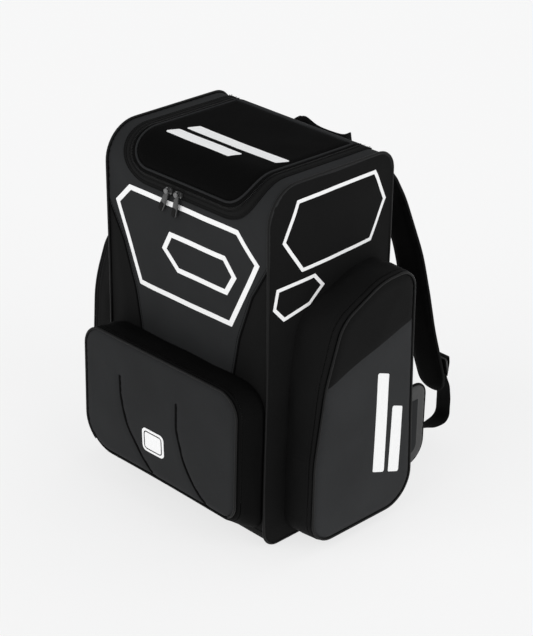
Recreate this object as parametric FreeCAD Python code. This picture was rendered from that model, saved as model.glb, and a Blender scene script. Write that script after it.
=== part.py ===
import FreeCAD, Part
import math
import os

# Sports kit backpack: boxy top-loading body, U-zip lid, front pocket, two arched side pockets,
# grab handle, two shoulder straps and two hip wings.
# Millimetres. +X is the wearer's right, -Y is the front of the pack (away from the wearer),
# +Z is up. The origin is on the floor under the middle of the main body.

V = FreeCAD.Vector

# Clearances
GAP = 0.4        # between pieces that part from or turn past each other
SEAM = 0.05      # between pieces that are sewn together in one body

# Main body
BODY_W = 350.0
BODY_D = 248.0
BODY_TOP = 580.0
BODY_BASE = 5.0
WALL = 6.0
R_TOP_FRONT = 55.0
R_TOP_BACK = 30.0
R_BASE = 25.0
BACK_Y = BODY_D / 2
FRONT_Y = -BODY_D / 2
SIDE_X = BODY_W / 2

# Levels where the wrap-around band of the body is divided into panels
BASE_SPLIT_Z = BODY_BASE + R_BASE
BACK_SPLIT_Z = BODY_TOP - R_TOP_BACK

# Lid: the zip runs in a U over the top and down onto the front
LID_HALF = 132.0
LID_FRONT_Z = 530.0
LID_R = 50.0
LID_HINGE_Y = 105.0
LID_TAPE = 14.0
RIM_TAPE = 16.0
TAPE_T = 1.4
LID_PAD_T = 6.0
LID_PAD_BACK_Y = 92.0

# Front pocket
FP_DEPTH = 59.0
FP_FACE_Y = FRONT_Y - FP_DEPTH
FP_HALF = 171.0
FP_LOW = 70.0
FP_HIGH = 280.0
FP_ZIP_Y = FP_FACE_Y + 12.0
FP_ROOT_Y = FRONT_Y + 12.0

# Side pockets
SP_DEPTH = 63.0
SP_FACE_X = SIDE_X + SP_DEPTH
SP_ZIP_X = SP_FACE_X - 12.0

# Pocket construction
CLOTH = 3.0
FLAP_RING = 4.7
PIPING_R = 2.25
FLAP_PIPING_R = 2.3
FACE_BACK_INSET = -FLAP_RING - 0.1
FACE_FRONT_INSET = -9.4
ZIP_BAND = 7.0
ZIP_T = 1.2

# Zip sliders and pullers
SLIDER_L = 12.0
SLIDER_W = 9.0
SLIDER_T = 3.2
PIN_R = 1.5
PIN_L = 3.6
HEAD_R = 2.6
HEAD_T = 1.2
PULLER_T = 2.0
PULLER_L = 38.0
PULLER_RING_R = 4.2
PULLER_HOLE_R = 2.0
PULLER_NECK = 5.0
PULLER_WIDE = 10.0

# Shoulder straps
PAD_T = 13.0
WEB_T = 2.0
WEB_W = 30.0
WEB_X = 131.0
YOKE_T = 3.0
STRAP_TOP = (133.8, 510.0)

# Hip wings
WING_T = 15.0
WING_OUT_X = 175.5
WING_ROOT_Y = 131.0
WING_TIP_Y = 234.0
WING_LOW = 16.0
WING_HIGH = 159.0

# Grab handle
HANDLE_HALF = 62.0
HANDLE_Y = 160.0
HANDLE_LOW = 523.0
HANDLE_HIGH = 557.0
HANDLE_T = 3.0


# ---------------------------------------------------------------- outlines

def side_plane(x):
    """Map outline points (y, z) into the plane at this x."""
    return lambda u, v: V(x, u, v)


def front_plane(y):
    """Map outline points (x, z) into the plane at this y."""
    return lambda u, v: V(u, y, v)


def unit(a, b):
    """Unit vector from point a to point b of an outline."""
    length = math.hypot(b[0] - a[0], b[1] - a[1])
    return (b[0] - a[0]) / length, (b[1] - a[1]) / length


def grown(corners, grow):
    """Move each side of a counter-clockwise outline outward by grow, and its corner radii with it."""
    result = []
    for i, here in enumerate(corners):
        before = corners[i - 1]
        after = corners[(i + 1) % len(corners)]
        d1 = unit(before, here)
        d2 = unit(here, after)
        n1 = (d1[1], -d1[0])
        n2 = (d2[1], -d2[0])
        share = grow / (1.0 + n1[0] * n2[0] + n1[1] * n2[1])
        turn = d1[0] * d2[1] - d1[1] * d2[0]
        radius = here[2] + (grow if turn > 0 else -grow)
        u = here[0] + share * (n1[0] + n2[0])
        v = here[1] + share * (n1[1] + n2[1])
        result.append((u, v, max(radius, 0.5)))
    return result


def blended(first, second, t):
    """Outline part of the way from one outline to another with the same number of corners."""
    return [tuple(a + (b - a) * t for a, b in zip(p, q)) for p, q in zip(first, second)]


def corner_arc(before, here, after):
    """Start, middle and end of the tangent arc that rounds one corner."""
    d1 = unit(before, here)
    d2 = unit(here, after)
    dot = max(-1.0, min(1.0, d1[0] * d2[0] + d1[1] * d2[1]))
    half = math.acos(dot) / 2
    reach = here[2] * math.tan(half)
    start = (here[0] - d1[0] * reach, here[1] - d1[1] * reach)
    end = (here[0] + d2[0] * reach, here[1] + d2[1] * reach)
    inward = (d2[0] - d1[0], d2[1] - d1[1])
    size = math.hypot(inward[0], inward[1])
    rise = here[2] * (1.0 / math.cos(half) - 1.0)
    middle = (here[0] + inward[0] / size * rise, here[1] + inward[1] / size * rise)
    return start, middle, end


def outline_wire(corners, to_space):
    """Closed wire of straight sides joined by tangent arcs."""
    arcs = []
    for i, here in enumerate(corners):
        arcs.append(corner_arc(corners[i - 1], here, corners[(i + 1) % len(corners)]))
    edges = []
    for i, (start, middle, end) in enumerate(arcs):
        edges.append(Part.Arc(to_space(*start), to_space(*middle), to_space(*end)).toShape())
        following = arcs[(i + 1) % len(arcs)][0]
        edges.append(Part.LineSegment(to_space(*end), to_space(*following)).toShape())
    return Part.Wire(edges)


def slab(corners, to_space, sweep):
    """Flat plate: the outline carried along the sweep vector."""
    return Part.Face(outline_wire(corners, to_space)).extrude(sweep)


def tube_round(corners, to_space, radius):
    """Round cord sewn along a closed outline."""
    path = outline_wire(corners, to_space)
    edge = path.Edges[1]
    start = edge.valueAt(edge.FirstParameter)
    along = edge.tangentAt(edge.FirstParameter)
    section = Part.Wire([Part.Circle(start, along, radius).toShape()])
    path = Part.Wire(path.Edges[1:] + path.Edges[:1])
    return path.makePipeShell([section], True, True)


def open_path(points, to_space):
    """Open wire through the points (u, v, radius), each inner corner rounded by a tangent arc."""
    edges = []
    last = points[0]
    for i in range(1, len(points) - 1):
        start, middle, end = corner_arc(points[i - 1], points[i], points[i + 1])
        edges.append(Part.LineSegment(to_space(last[0], last[1]), to_space(*start)).toShape())
        edges.append(Part.Arc(to_space(*start), to_space(*middle), to_space(*end)).toShape())
        last = end
    edges.append(Part.LineSegment(to_space(last[0], last[1]), to_space(*points[-1][:2])).toShape())
    return Part.Wire(edges)


def ribbon(points, to_space, thickness, sweep):
    """Strap of constant thickness that follows an open path, swept to its width."""
    edge = open_path(points, to_space).makeOffset2D(thickness / 2)
    return Part.Face(edge).extrude(sweep)


def block(x0, x1, y0, y1, z0, z1):
    """Box between two corners."""
    return Part.makeBox(x1 - x0, y1 - y0, z1 - z0, V(x0, y0, z0))


def mirror_x(shape):
    """Mirror image in the pack's middle plane."""
    return shape.mirror(V(0, 0, 0), V(1, 0, 0))


def save(node, shape):
    """Write one node as its own STEP file."""
    solids = shape.Solids
    if not solids:
        raise RuntimeError("no solid in " + node)
    if len(solids) == 1:
        result = solids[0]
    else:
        result = Part.makeCompound(solids)
    if not result.isValid():
        print("invalid shape", node)
    result.exportStep("parts/" + node + ".step")
    box = result.optimalBoundingBox()
    print("%-26s %d solid  %9.1f cm3  x %.1f..%.1f y %.1f..%.1f z %.1f..%.1f" % (
        node, len(solids), result.Volume / 1000,
        box.XMin, box.XMax, box.YMin, box.YMax, box.ZMin, box.ZMax))


def save_pair(name, right):
    """Write a piece and its mirror image."""
    save(name + "_right", right)
    save(name + "_left", mirror_x(right))


# ---------------------------------------------------------------- main body

BODY_PROFILE = [
    (FRONT_Y, BODY_BASE, R_BASE),
    (BACK_Y, BODY_BASE, R_BASE),
    (BACK_Y, BODY_TOP, R_TOP_BACK),
    (FRONT_Y, BODY_TOP, R_TOP_FRONT),
]

LID_OUTLINE = [
    (-LID_HALF, LID_FRONT_Z, LID_R),
    (LID_HALF, LID_FRONT_Z, LID_R),
    (LID_HALF, BODY_TOP + 120, 5.0),
    (-LID_HALF, BODY_TOP + 120, 5.0),
]


def body_block(grow, half):
    """Solid of the body's side profile, between -half and +half across."""
    return slab(grown(BODY_PROFILE, grow), side_plane(-half), V(2 * half, 0, 0))


def body_skin(inner, outer, half):
    """Layer between two offsets of the body's profile."""
    return body_block(outer, half).cut(body_block(inner, half + 1))


def lid_column(grow, back_y):
    """Everything inside the lid's U outline, from in front of the body back to back_y."""
    front_y = FRONT_Y - 60
    return slab(grown(LID_OUTLINE, grow), front_plane(front_y), V(0, back_y - front_y, 0))


def insert_outline():
    """Front view of the dark lower corner insert on the +X side of the front panel."""
    edge = SIDE_X - WALL + 1
    return [
        (98, BASE_SPLIT_Z - 5, 1),
        (edge, BASE_SPLIT_Z - 5, 1),
        (edge, 458, 1),
        (140, 408, 40),
        (114, 335, 120),
        (102, 270, 150),
    ]


def make_body():
    """Front, back, base, side and rim panels, with the stiffeners inside."""
    wrap = body_skin(-WALL, 0, SIDE_X - WALL - SEAM)
    around_lid = wrap.cut(lid_column(GAP, LID_HINGE_Y + GAP))
    rim_z = LID_FRONT_Z - GAP
    far = 400

    front = around_lid.common(block(-far, far, -far, -60, BASE_SPLIT_Z, rim_z))
    insert_column = slab(insert_outline(), front_plane(-far), V(0, far, 0))
    insert = front.common(insert_column)
    cutter = slab(grown(insert_outline(), SEAM), front_plane(-far), V(0, far, 0))
    save("front_panel", front.cut(cutter).cut(mirror_x(cutter)))
    save_pair("front_insert", insert)

    back = around_lid.common(block(-far, far, 60, far, BASE_SPLIT_Z, BACK_SPLIT_Z - SEAM))
    save("back_panel", back)
    base = around_lid.common(block(-far, far, -far, far, -20, BASE_SPLIT_Z - SEAM))
    save("base_panel", base)
    rim_back_y = LID_HINGE_Y + GAP
    rim = around_lid.common(block(0, far, -far, rim_back_y - SEAM, rim_z + SEAM, 700))
    save_pair("top_rim", rim)
    save("top_rim_back", around_lid.common(block(-far, far, rim_back_y, far, BACK_SPLIT_Z, 700)))

    side = slab(BODY_PROFILE, side_plane(SIDE_X - WALL), V(WALL, 0, 0))
    save_pair("side_panel", side)
    path = grown(BODY_PROFILE, PIPING_R + SEAM)
    save_pair("side_piping", tube_round(path, side_plane(SIDE_X - PIPING_R), PIPING_R))

    sheet = slab(
        [(-150, 30, 20), (150, 30, 20), (150, 545, 30), (-150, 545, 30)],
        front_plane(BACK_Y - WALL - 3.5), V(0, 2.5, 0))
    save("frame_sheet", sheet)
    stiffener = block(-158, 158, -98, 98, BODY_BASE + WALL + 0.2, BODY_BASE + WALL + 3)
    save("base_stiffener", stiffener)
    skid = block(-164, 164, -98, 98, 0, BODY_BASE - SEAM)
    save("base_skid", skid.makeFillet(4, [e for e in skid.Edges if is_upright(e)]))

    tape = body_skin(SEAM, TAPE_T, SIDE_X - WALL)
    outer = lid_column(GAP + RIM_TAPE, LID_HINGE_Y)
    save("rim_zip_tape", tape.common(outer).cut(lid_column(GAP, LID_HINGE_Y + 1)))


def is_upright(edge):
    """True for a straight edge that runs along Z."""
    a, b = edge.Vertexes[0].Point, edge.Vertexes[-1].Point
    return abs(a.x - b.x) < 1e-6 and abs(a.y - b.y) < 1e-6


def make_lid():
    """Lid panel, its zip tape and the raised pad on top."""
    panel_back = LID_HINGE_Y - GAP
    wrap = body_skin(-WALL, 0, SIDE_X - WALL)
    save("lid_panel", wrap.common(lid_column(-GAP, panel_back)))
    tape = body_skin(SEAM, TAPE_T, SIDE_X - WALL).common(lid_column(-GAP, panel_back))
    save("lid_zip_tape", tape.cut(lid_column(-LID_TAPE, panel_back + 1)))
    pad = body_skin(SEAM, LID_PAD_T, SIDE_X - WALL)
    save("lid_pad", pad.common(lid_column(-LID_TAPE - 0.3, LID_PAD_BACK_Y)))


# ---------------------------------------------------------------- pockets

FRONT_ROOT = [(-168, 16, 30), (168, 16, 30), (168, 271, 38), (-168, 271, 38)]
FRONT_FACE = [
    (-FP_HALF, FP_LOW, 55),
    (FP_HALF, FP_LOW, 55),
    (FP_HALF, FP_HIGH, 38),
    (-FP_HALF, FP_HIGH, 38),
]

# Side pocket outlines as (y, z, radius), seen with the back of the pack on the right
SIDE_ROOT = [
    (-84, 10, 40),
    (116, 10, 50),
    (116, 420, 36),
    (40, 418, 110),
    (-70, 374, 45),
    (-82, 280, 200),
    (-84, 160, 200),
]
SIDE_FACE = [
    (-88, 16, 42),
    (129, 16, 55),
    (117, 417, 34),
    (45, 415, 110),
    (-38, 375, 60),
    (-70, 280, 200),
    (-88, 160, 200),
]

# The left pocket is packed fuller, so that its front edge stands further forward
LEFT_ROOT = [
    (-104, 10, 40),
    (116, 10, 50),
    (116, 420, 36),
    (40, 418, 110),
    (-84, 380, 50),
    (-104, 300, 200),
    (-106, 160, 200),
]
LEFT_FACE = [
    (-108, 16, 42),
    (129, 16, 55),
    (117, 417, 34),
    (45, 415, 110),
    (-76, 380, 60),
    (-106, 300, 200),
    (-112, 160, 200),
]


def front_outline(y, grow):
    """Front pocket outline at depth y."""
    t = (FRONT_Y - y) / FP_DEPTH
    return grown(blended(FRONT_ROOT, FRONT_FACE, t), grow)


def side_outline(x, grow):
    """Right side pocket outline at distance x from the middle plane."""
    t = (x - SIDE_X) / SP_DEPTH
    return grown(blended(SIDE_ROOT, SIDE_FACE, t), grow)


def left_outline(x, grow):
    """Left side pocket outline at distance x from the middle plane."""
    t = (x - SIDE_X) / SP_DEPTH
    return grown(blended(LEFT_ROOT, LEFT_FACE, t), grow)


def sleeve(outline, plane, near, far, inner, outer):
    """Wall of a pocket between two depths, between two offsets of its outline."""
    step = 1.0 if far > near else -1.0
    solid = Part.makeLoft(
        [outline_wire(outline(near, outer), plane(near)), outline_wire(outline(far, outer), plane(far))],
        True, True)
    a, b = near - step, far + step
    hollow = Part.makeLoft(
        [outline_wire(outline(a, inner), plane(a)), outline_wire(outline(b, inner), plane(b))],
        True, True)
    return solid.cut(hollow)


def padding(outline, plane, near, far):
    """Padded face of a pocket: inside the flap's ring at the near depth, inside its piping at the far one."""
    back = outline_wire(outline(near, FACE_BACK_INSET), plane(near))
    front = outline_wire(outline(far, FACE_FRONT_INSET), plane(far))
    return Part.makeLoft([back, front], True, True)


def make_front_pocket():
    """Gusset and zip tape on the body; ring, padded face, piping and badge on the flap."""
    gusset = sleeve(front_outline, front_plane, FP_ROOT_Y, FP_ZIP_Y, -CLOTH, 0)
    save("front_pocket_gusset", gusset.cut(body_block(SEAM, SIDE_X + 5)))
    tape = sleeve(front_outline, front_plane, FP_ZIP_Y + ZIP_BAND, FP_ZIP_Y, SEAM, ZIP_T)
    save("front_pocket_zip_tape", tape)

    ring_back = FP_ZIP_Y - 0.6
    ring_front = FP_FACE_Y + 2 * FLAP_PIPING_R + 1.0
    ring = sleeve(front_outline, front_plane, ring_back, ring_front, -FLAP_RING, 0)
    save("front_flap_zip_tape", ring)
    save("front_flap_face", padding(front_outline, front_plane, ring_back - 1.0, FP_FACE_Y))
    path = front_outline(FP_FACE_Y, -FLAP_PIPING_R)
    save("front_flap_piping", tube_round(path, front_plane(FP_FACE_Y + FLAP_PIPING_R), FLAP_PIPING_R))
    badge = slab(
        [(-31, 116, 9), (15, 116, 9), (15, 152, 9), (-31, 152, 9)],
        front_plane(FP_FACE_Y - SEAM), V(0, -1.6, 0))
    save("front_badge", badge)


def make_side_pockets():
    """The same build as the front pocket, on each side of the body."""
    for side, outline in (("_right", side_outline), ("_left", left_outline)):
        for name, piece in side_pocket(outline).items():
            save(name + side, piece if side == "_right" else mirror_x(piece))


def side_pocket(outline):
    """Pieces of one side pocket, on the +X side."""
    ring_in = SP_ZIP_X + 0.6
    ring_out = SP_FACE_X - 2 * FLAP_PIPING_R - 1.0
    path = outline(SP_FACE_X, -FLAP_PIPING_R)
    return {
        "side_pocket_gusset": sleeve(outline, side_plane, SIDE_X + SEAM, SP_ZIP_X, -CLOTH, 0),
        "side_pocket_zip_tape": sleeve(outline, side_plane, SP_ZIP_X - ZIP_BAND, SP_ZIP_X, SEAM, ZIP_T),
        "side_flap_zip_tape": sleeve(outline, side_plane, ring_in, ring_out, -FLAP_RING, 0),
        "side_flap_face": padding(outline, side_plane, ring_in + 1.0, SP_FACE_X),
        "side_flap_piping": tube_round(path, side_plane(SP_FACE_X - FLAP_PIPING_R), FLAP_PIPING_R),
    }


# ---------------------------------------------------------------- zip sliders

def set_in_place(shape, origin, along, out):
    """Move a piece from its own axes (x along the zip, y out of the surface) into the pack."""
    along = V(*along).normalize()
    out = V(*out).normalize()
    third = along.cross(out)
    matrix = FreeCAD.Matrix(
        along.x, out.x, third.x, origin[0],
        along.y, out.y, third.y, origin[1],
        along.z, out.z, third.z, origin[2],
        0, 0, 0, 1)
    return shape.transformed(matrix)


def slider_shape():
    """Slider body with the pin that carries the puller; y = 0 is the face on the tape."""
    body = Part.makeBox(SLIDER_L, SLIDER_T, SLIDER_W, V(-SLIDER_L / 2, 0, -SLIDER_W / 2))
    body = body.makeFillet(2.0, [e for e in body.Edges if runs_along_y(e)])
    pin = Part.makeCylinder(PIN_R, PIN_L, V(0, SLIDER_T - 0.5, 0), V(0, 1, 0))
    head = Part.makeCylinder(HEAD_R, HEAD_T, V(0, SLIDER_T - 0.5 + PIN_L, 0), V(0, 1, 0))
    return body.fuse(pin).fuse(head).removeSplitter()


def runs_along_y(edge):
    """True for an edge parallel to Y."""
    a, b = edge.Vertexes[0].Point, edge.Vertexes[-1].Point
    return abs(a.x - b.x) < 1e-6 and abs(a.z - b.z) < 1e-6


def puller_shape():
    """Flat pull tab that hangs along -z from its ring; the ring is round the slider's pin."""
    base = SLIDER_T + 0.3
    ring = Part.makeCylinder(PULLER_RING_R, PULLER_T, V(0, base, 0), V(0, 1, 0))
    half_neck = PULLER_NECK / 2
    half_wide = PULLER_WIDE / 2
    tab = slab(
        [(-half_wide, -PULLER_L, 4.0), (half_wide, -PULLER_L, 4.0), (half_wide, -PULLER_L * 0.68, 8.0),
         (half_neck, -2, 0.5), (-half_neck, -2, 0.5), (-half_wide, -PULLER_L * 0.68, 8.0)],
        front_plane(base), V(0, PULLER_T, 0))
    hole = Part.makeCylinder(PULLER_HOLE_R, PULLER_T + 4, V(0, base - 2, 0), V(0, 1, 0))
    return ring.fuse(tab).cut(hole).removeSplitter()


def tilted(angle):
    """Directions of a hanging tab that leans by angle degrees towards -X on the front face."""
    a = math.radians(angle)
    down = V(-math.sin(a), 0, -math.cos(a))
    out = V(0, -1, 0)
    return down, out


def make_front_zip_pull(name, x, z, lean):
    """Slider and puller on the lid zip."""
    seat = FRONT_Y - TAPE_T - GAP
    slider = set_in_place(slider_shape(), (x, seat, z), (-1, 0, 0), (0, -1, 0))
    save("main_slider_" + name, slider)
    down, out = tilted(lean)
    along = out.cross(-down)
    puller = set_in_place(puller_shape(), (x, seat, z), tuple(along), tuple(out))
    save("main_puller_" + name, puller)


def make_pocket_zip_pulls():
    """Front pocket slider on the -X side of its gusset, side pocket sliders at the back edge."""
    y = FP_ZIP_Y + 4.5
    x = -(front_outline(y, ZIP_T + GAP)[1][0])
    origin = (x, y, 168)
    save("front_pocket_slider", set_in_place(slider_shape(), origin, (0, 0, 1), (-1, 0, 0)))
    save("front_pocket_puller", set_in_place(puller_shape(), origin, (0, 1, 0), (-1, 0, 0)))

    x = SP_ZIP_X - 4.5
    corners = side_outline(x, ZIP_T + GAP + 0.6)
    low, high = corners[1], corners[2]
    z = 150
    y = low[0] + (high[0] - low[0]) * (z - low[1]) / (high[1] - low[1])
    rise = V(0, high[0] - low[0], high[1] - low[1]).normalize()
    out = rise.cross(V(1, 0, 0))
    slider = set_in_place(slider_shape(), (x, y, z), tuple(rise), tuple(out))
    save_pair("side_pocket_slider", slider)
    puller = set_in_place(puller_shape(), (x, y, z), (1, 0, 0), tuple(out))
    save_pair("side_pocket_puller", puller)
    print("side slider seat", x, y, z, "rise", tuple(rise), "out", tuple(out))


# ---------------------------------------------------------------- harness

# The shoulder pad's root is a round tongue about this point in plan, so that it can swing
PAD_ROOT_R = 28.0
PAD_ROOT_X = 78.5
PAD_ROOT_Y = STRAP_TOP[0] - PAD_T / 2 + PAD_ROOT_R
WEB_END_Y = 130.6

# Centre line of the shoulder pad in side view, as (y, z, radius)
PAD_PATH = [
    (STRAP_TOP[0], STRAP_TOP[1], 0),
    (196, 512, 50),
    (232, 450, 150),
    (262, 350, 300),
    (282, 218, 400),
    (311, 94, 0),
]

# Front view of the shoulder pad, as (x, z, radius)
PAD_OUTLINE = [
    (96, 92, 24),
    (141, 92, 24),
    (148, 130, 60),
    (131, 282, 300),
    (108, 450, 300),
    (107, 540, 5),
    (50, 540, 5),
    (50, 450, 300),
    (72, 282, 300),
    (88, 140, 80),
]

# Centre line of the adjuster webbing in side view, from the pad to the lower anchor
WEB_PATH = [
    (310.6, 131, 0),
    (323, 104, 25),
    (327, 80, 60),
    (327, 38, 16),
    (290, 36, 60),
    (WEB_END_Y + WEB_T / 2, 65, 0),
]


def make_straps():
    """Shoulder pads, adjuster webbing and ladder locks."""
    pad = ribbon(PAD_PATH, side_plane(0), PAD_T, V(200, 0, 0))
    outline = slab(PAD_OUTLINE, front_plane(100), V(0, 260, 0))
    pad = pad.common(outline)
    save_pair("strap_pad", pad.cut(root_corners(PAD_ROOT_X, PAD_ROOT_Y, PAD_ROOT_R, 500)))

    web_start = WEB_X - WEB_W / 2
    web = ribbon(WEB_PATH, side_plane(web_start), WEB_T, V(WEB_W, 0, 0))
    end_r = WEB_W / 2
    save_pair("strap_webbing", web.cut(root_corners(WEB_X, WEB_END_Y + end_r, end_r, 60)))

    lower, upper = PAD_PATH[-1], PAD_PATH[-2]
    slope = V(0, upper[0] - lower[0], upper[1] - lower[1]).normalize()
    out = slope.cross(V(1, 0, 0))
    middle = V(0, lower[0], lower[1]) + slope * 54 + out * (PAD_T / 2 + 0.2)
    buckle = set_in_place(ladder_lock(), (WEB_X, middle.y, middle.z), (1, 0, 0), tuple(out))
    save_pair("strap_buckle", buckle)


def root_corners(x, y, radius, z):
    """What is cut away to leave a strap end round in plan about (x, y), at about height z."""
    reach = radius + 5
    square = block(x - reach, x + reach, y - reach, y, z - 60, z + 60)
    return square.cut(Part.makeCylinder(radius, 130, V(x, y, z - 65)))


def ladder_lock():
    """Three-bar buckle: x across the webbing, y out of the pad."""
    wide, tall, thick = 38, 27, 4
    slot_w, slot_h, slot_pitch = 31, 4.5, 9
    frame = Part.makeBox(wide, thick, tall, V(-wide / 2, 0, -tall / 2))
    frame = frame.makeFillet(4, [e for e in frame.Edges if runs_along_y(e)])
    for side in (-1, 1):
        corner = V(-slot_w / 2, -1, side * slot_pitch / 2 - slot_h / 2)
        frame = frame.cut(Part.makeBox(slot_w, thick + 2, slot_h, corner))
    return frame


def make_anchors():
    """Patches and tabs sewn to the back panel, which carry the straps and the handle."""
    start = BACK_Y + SEAM
    yoke = slab(
        [(-118, 486, 8), (118, 486, 8), (118, 520, 8), (-118, 520, 8)],
        front_plane(start), V(0, YOKE_T, 0))
    save("strap_yoke", yoke)
    patch = slab(
        [(HANDLE_HALF - 12, 521.5, 5), (HANDLE_HALF + 12, 521.5, 5),
         (HANDLE_HALF + 12, 548, 5), (HANDLE_HALF - 12, 548, 5)],
        front_plane(start), V(0, YOKE_T - 0.5, 0))
    save("handle_anchors", Part.makeCompound([patch, mirror_x(patch)]))
    tab = slab(
        [(WEB_X - 20, 50, 4), (WEB_X + 20, 50, 4), (WEB_X + 17, 80, 4), (WEB_X - 17, 80, 4)],
        front_plane(start), V(0, 130 - start, 0))
    save_pair("webbing_anchor", tab)


def make_handle():
    """Wide webbing loop behind the top of the back panel."""
    root_y = BACK_Y + 5.0
    path = [
        (-HANDLE_HALF, root_y, 0),
        (-HANDLE_HALF, HANDLE_Y, 9),
        (HANDLE_HALF, HANDLE_Y, 9),
        (HANDLE_HALF, root_y, 0),
    ]
    plan = lambda u, v: V(u, v, HANDLE_LOW)
    loop = ribbon(path, plan, HANDLE_T, V(0, 0, HANDLE_HIGH - HANDLE_LOW))
    save("handle_webbing", loop)


def make_hip_wings():
    """Padded wing behind each lower corner, thinned towards the seam that it folds on."""
    outline = [
        (WING_ROOT_Y, WING_LOW, 6),
        (WING_TIP_Y, WING_LOW, 38),
        (WING_TIP_Y, WING_HIGH, 24),
        (WING_ROOT_Y, WING_HIGH, 10),
    ]
    inner_x = WING_OUT_X - WING_T
    wing = slab(outline, side_plane(inner_x), V(WING_T, 0, 0))
    wedge = Part.makePolygon([
        V(inner_x - 1, WING_ROOT_Y - 1, 0), V(WING_OUT_X - 4, WING_ROOT_Y - 1, 0),
        V(inner_x - 1, WING_ROOT_Y + 22, 0), V(inner_x - 1, WING_ROOT_Y - 1, 0)])
    save_pair("hip_wing", wing.cut(Part.Face(wedge).extrude(V(0, 0, 300))))


def make_back_pads():
    """Padding that lies against the wearer."""
    start = BACK_Y + SEAM
    pad = slab(
        [(-104, 112, 26), (104, 112, 26), (98, 476, 30), (-98, 476, 30)],
        front_plane(start), V(0, 14, 0))
    save("back_pad", pad)
    lumbar = slab(
        [(-100, 30, 20), (100, 30, 20), (100, 104, 20), (-100, 104, 20)],
        front_plane(start), V(0, 17, 0))
    save("lumbar_pad", lumbar)


def main():
    """Make every piece."""
    make_body()
    make_lid()
    make_front_pocket()
    make_side_pockets()
    make_front_zip_pull("left", -31, 522, 26)
    make_front_zip_pull("right", -10, 522, 14)
    make_pocket_zip_pulls()
    make_anchors()
    make_straps()
    make_handle()
    make_hip_wings()
    make_back_pads()


main()
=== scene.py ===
import math

import bmesh
import bpy
import numpy as np
from mathutils import Matrix, Vector
from mathutils.geometry import delaunay_2d_cdt


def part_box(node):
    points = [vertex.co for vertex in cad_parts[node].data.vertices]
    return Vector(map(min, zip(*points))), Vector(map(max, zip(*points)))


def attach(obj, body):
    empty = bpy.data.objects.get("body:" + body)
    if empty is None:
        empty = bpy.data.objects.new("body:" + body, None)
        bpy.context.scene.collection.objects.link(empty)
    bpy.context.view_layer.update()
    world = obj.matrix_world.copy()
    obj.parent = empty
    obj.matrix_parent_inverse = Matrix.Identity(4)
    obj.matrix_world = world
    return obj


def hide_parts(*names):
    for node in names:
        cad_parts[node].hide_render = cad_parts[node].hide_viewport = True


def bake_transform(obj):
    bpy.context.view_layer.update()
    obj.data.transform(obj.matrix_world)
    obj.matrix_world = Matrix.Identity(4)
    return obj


# Looks of the sports kit backpack. Lengths are in millimetres until a mesh is made.
# A panel is drawn flat in its own two coordinates and then laid on the pack.

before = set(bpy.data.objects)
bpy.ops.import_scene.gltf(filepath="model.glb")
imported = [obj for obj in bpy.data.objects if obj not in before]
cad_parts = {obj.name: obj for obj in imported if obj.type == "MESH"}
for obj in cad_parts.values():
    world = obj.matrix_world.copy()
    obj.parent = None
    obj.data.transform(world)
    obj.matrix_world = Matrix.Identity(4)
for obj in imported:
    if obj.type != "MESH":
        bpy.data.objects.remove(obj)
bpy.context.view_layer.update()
MM = 0.001


def cad_box(node):
    """Lowest and highest corner of a CAD node in millimetres."""
    low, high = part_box(node)
    return low / MM, high / MM


# ---------------------------------------------------------------- driving dimensions

SIDE_LOW, SIDE_HIGH = cad_box("side_panel_right")
HALF_W = SIDE_HIGH.x
FRONT_Y = SIDE_LOW.y
BACK_Y = SIDE_HIGH.y
BASE_Z = SIDE_LOW.z
TOP_Z = SIDE_HIGH.z
R_TOP_FRONT = 55.0
R_TOP_BACK = 30.0
R_BASE = 25.0
BODY_PROFILE = [
    (FRONT_Y, BASE_Z, R_BASE),
    (FRONT_Y, TOP_Z, R_TOP_FRONT),
    (BACK_Y, TOP_Z, R_TOP_BACK),
    (BACK_Y, BASE_Z, R_BASE),
]

LID_HALF = 132.0
LID_FRONT_Z = 530.0
LID_R = 50.0
LID_HINGE_Y = 105.0
LID_PAD_BACK_Y = 92.0
ZIP_HALF = 1.3
PAD_EDGE = 8.6   # how far the lid pad stops short of the zip
RIM_TAPE = 16.4
EDGE = 1.2       # how far a panel stops short of the seam it shares
ROW_PITCH = 0.866   # height of an even-sided triangle, for the rows of a mesh grid
CLEAR = 0.45        # share of the grid that free points keep from a seam

FACE_Y = cad_box("front_flap_piping")[0].y
FRONT_ZIP_Y = cad_box("front_pocket_zip_tape")[0].y
FRONT_ROOT = [(-168, 27, 30), (168, 27, 30), (168, 271, 38), (-168, 271, 38)]
FRONT_FACE = [(-171, 68, 55), (171, 68, 30), (171, 280, 38), (-171, 280, 38)]

FACE_X = cad_box("side_flap_piping_right")[1].x
SIDE_ZIP_X = cad_box("side_pocket_zip_tape_right")[1].x
SIDE_ROOT = [
    (-84, 10, 40), (116, 10, 50), (116, 420, 36), (40, 418, 110),
    (-70, 374, 45), (-82, 280, 200), (-84, 160, 200),
]
SIDE_FACE = [
    (-88, 16, 42), (129, 16, 55), (117, 417, 34), (45, 415, 110),
    (-38, 375, 60), (-70, 280, 200), (-88, 160, 200),
]
LEFT_ROOT = [
    (-104, 10, 40), (116, 10, 50), (116, 420, 36), (40, 418, 110),
    (-84, 380, 50), (-104, 300, 200), (-106, 160, 200),
]
LEFT_FACE = [
    (-108, 16, 42), (129, 16, 55), (117, 417, 34), (45, 415, 110),
    (-76, 380, 60), (-106, 300, 200), (-112, 160, 200),
]
INSERT_EDGE = [(98, 25, 0), (102, 270, 150), (114, 335, 120), (140, 408, 40), (173.4, 464, 0)]


# ---------------------------------------------------------------- flat outlines

def unit(a, b):
    """Unit vector from point a to point b."""
    length = math.hypot(b[0] - a[0], b[1] - a[1])
    return (b[0] - a[0]) / length, (b[1] - a[1]) / length


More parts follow.
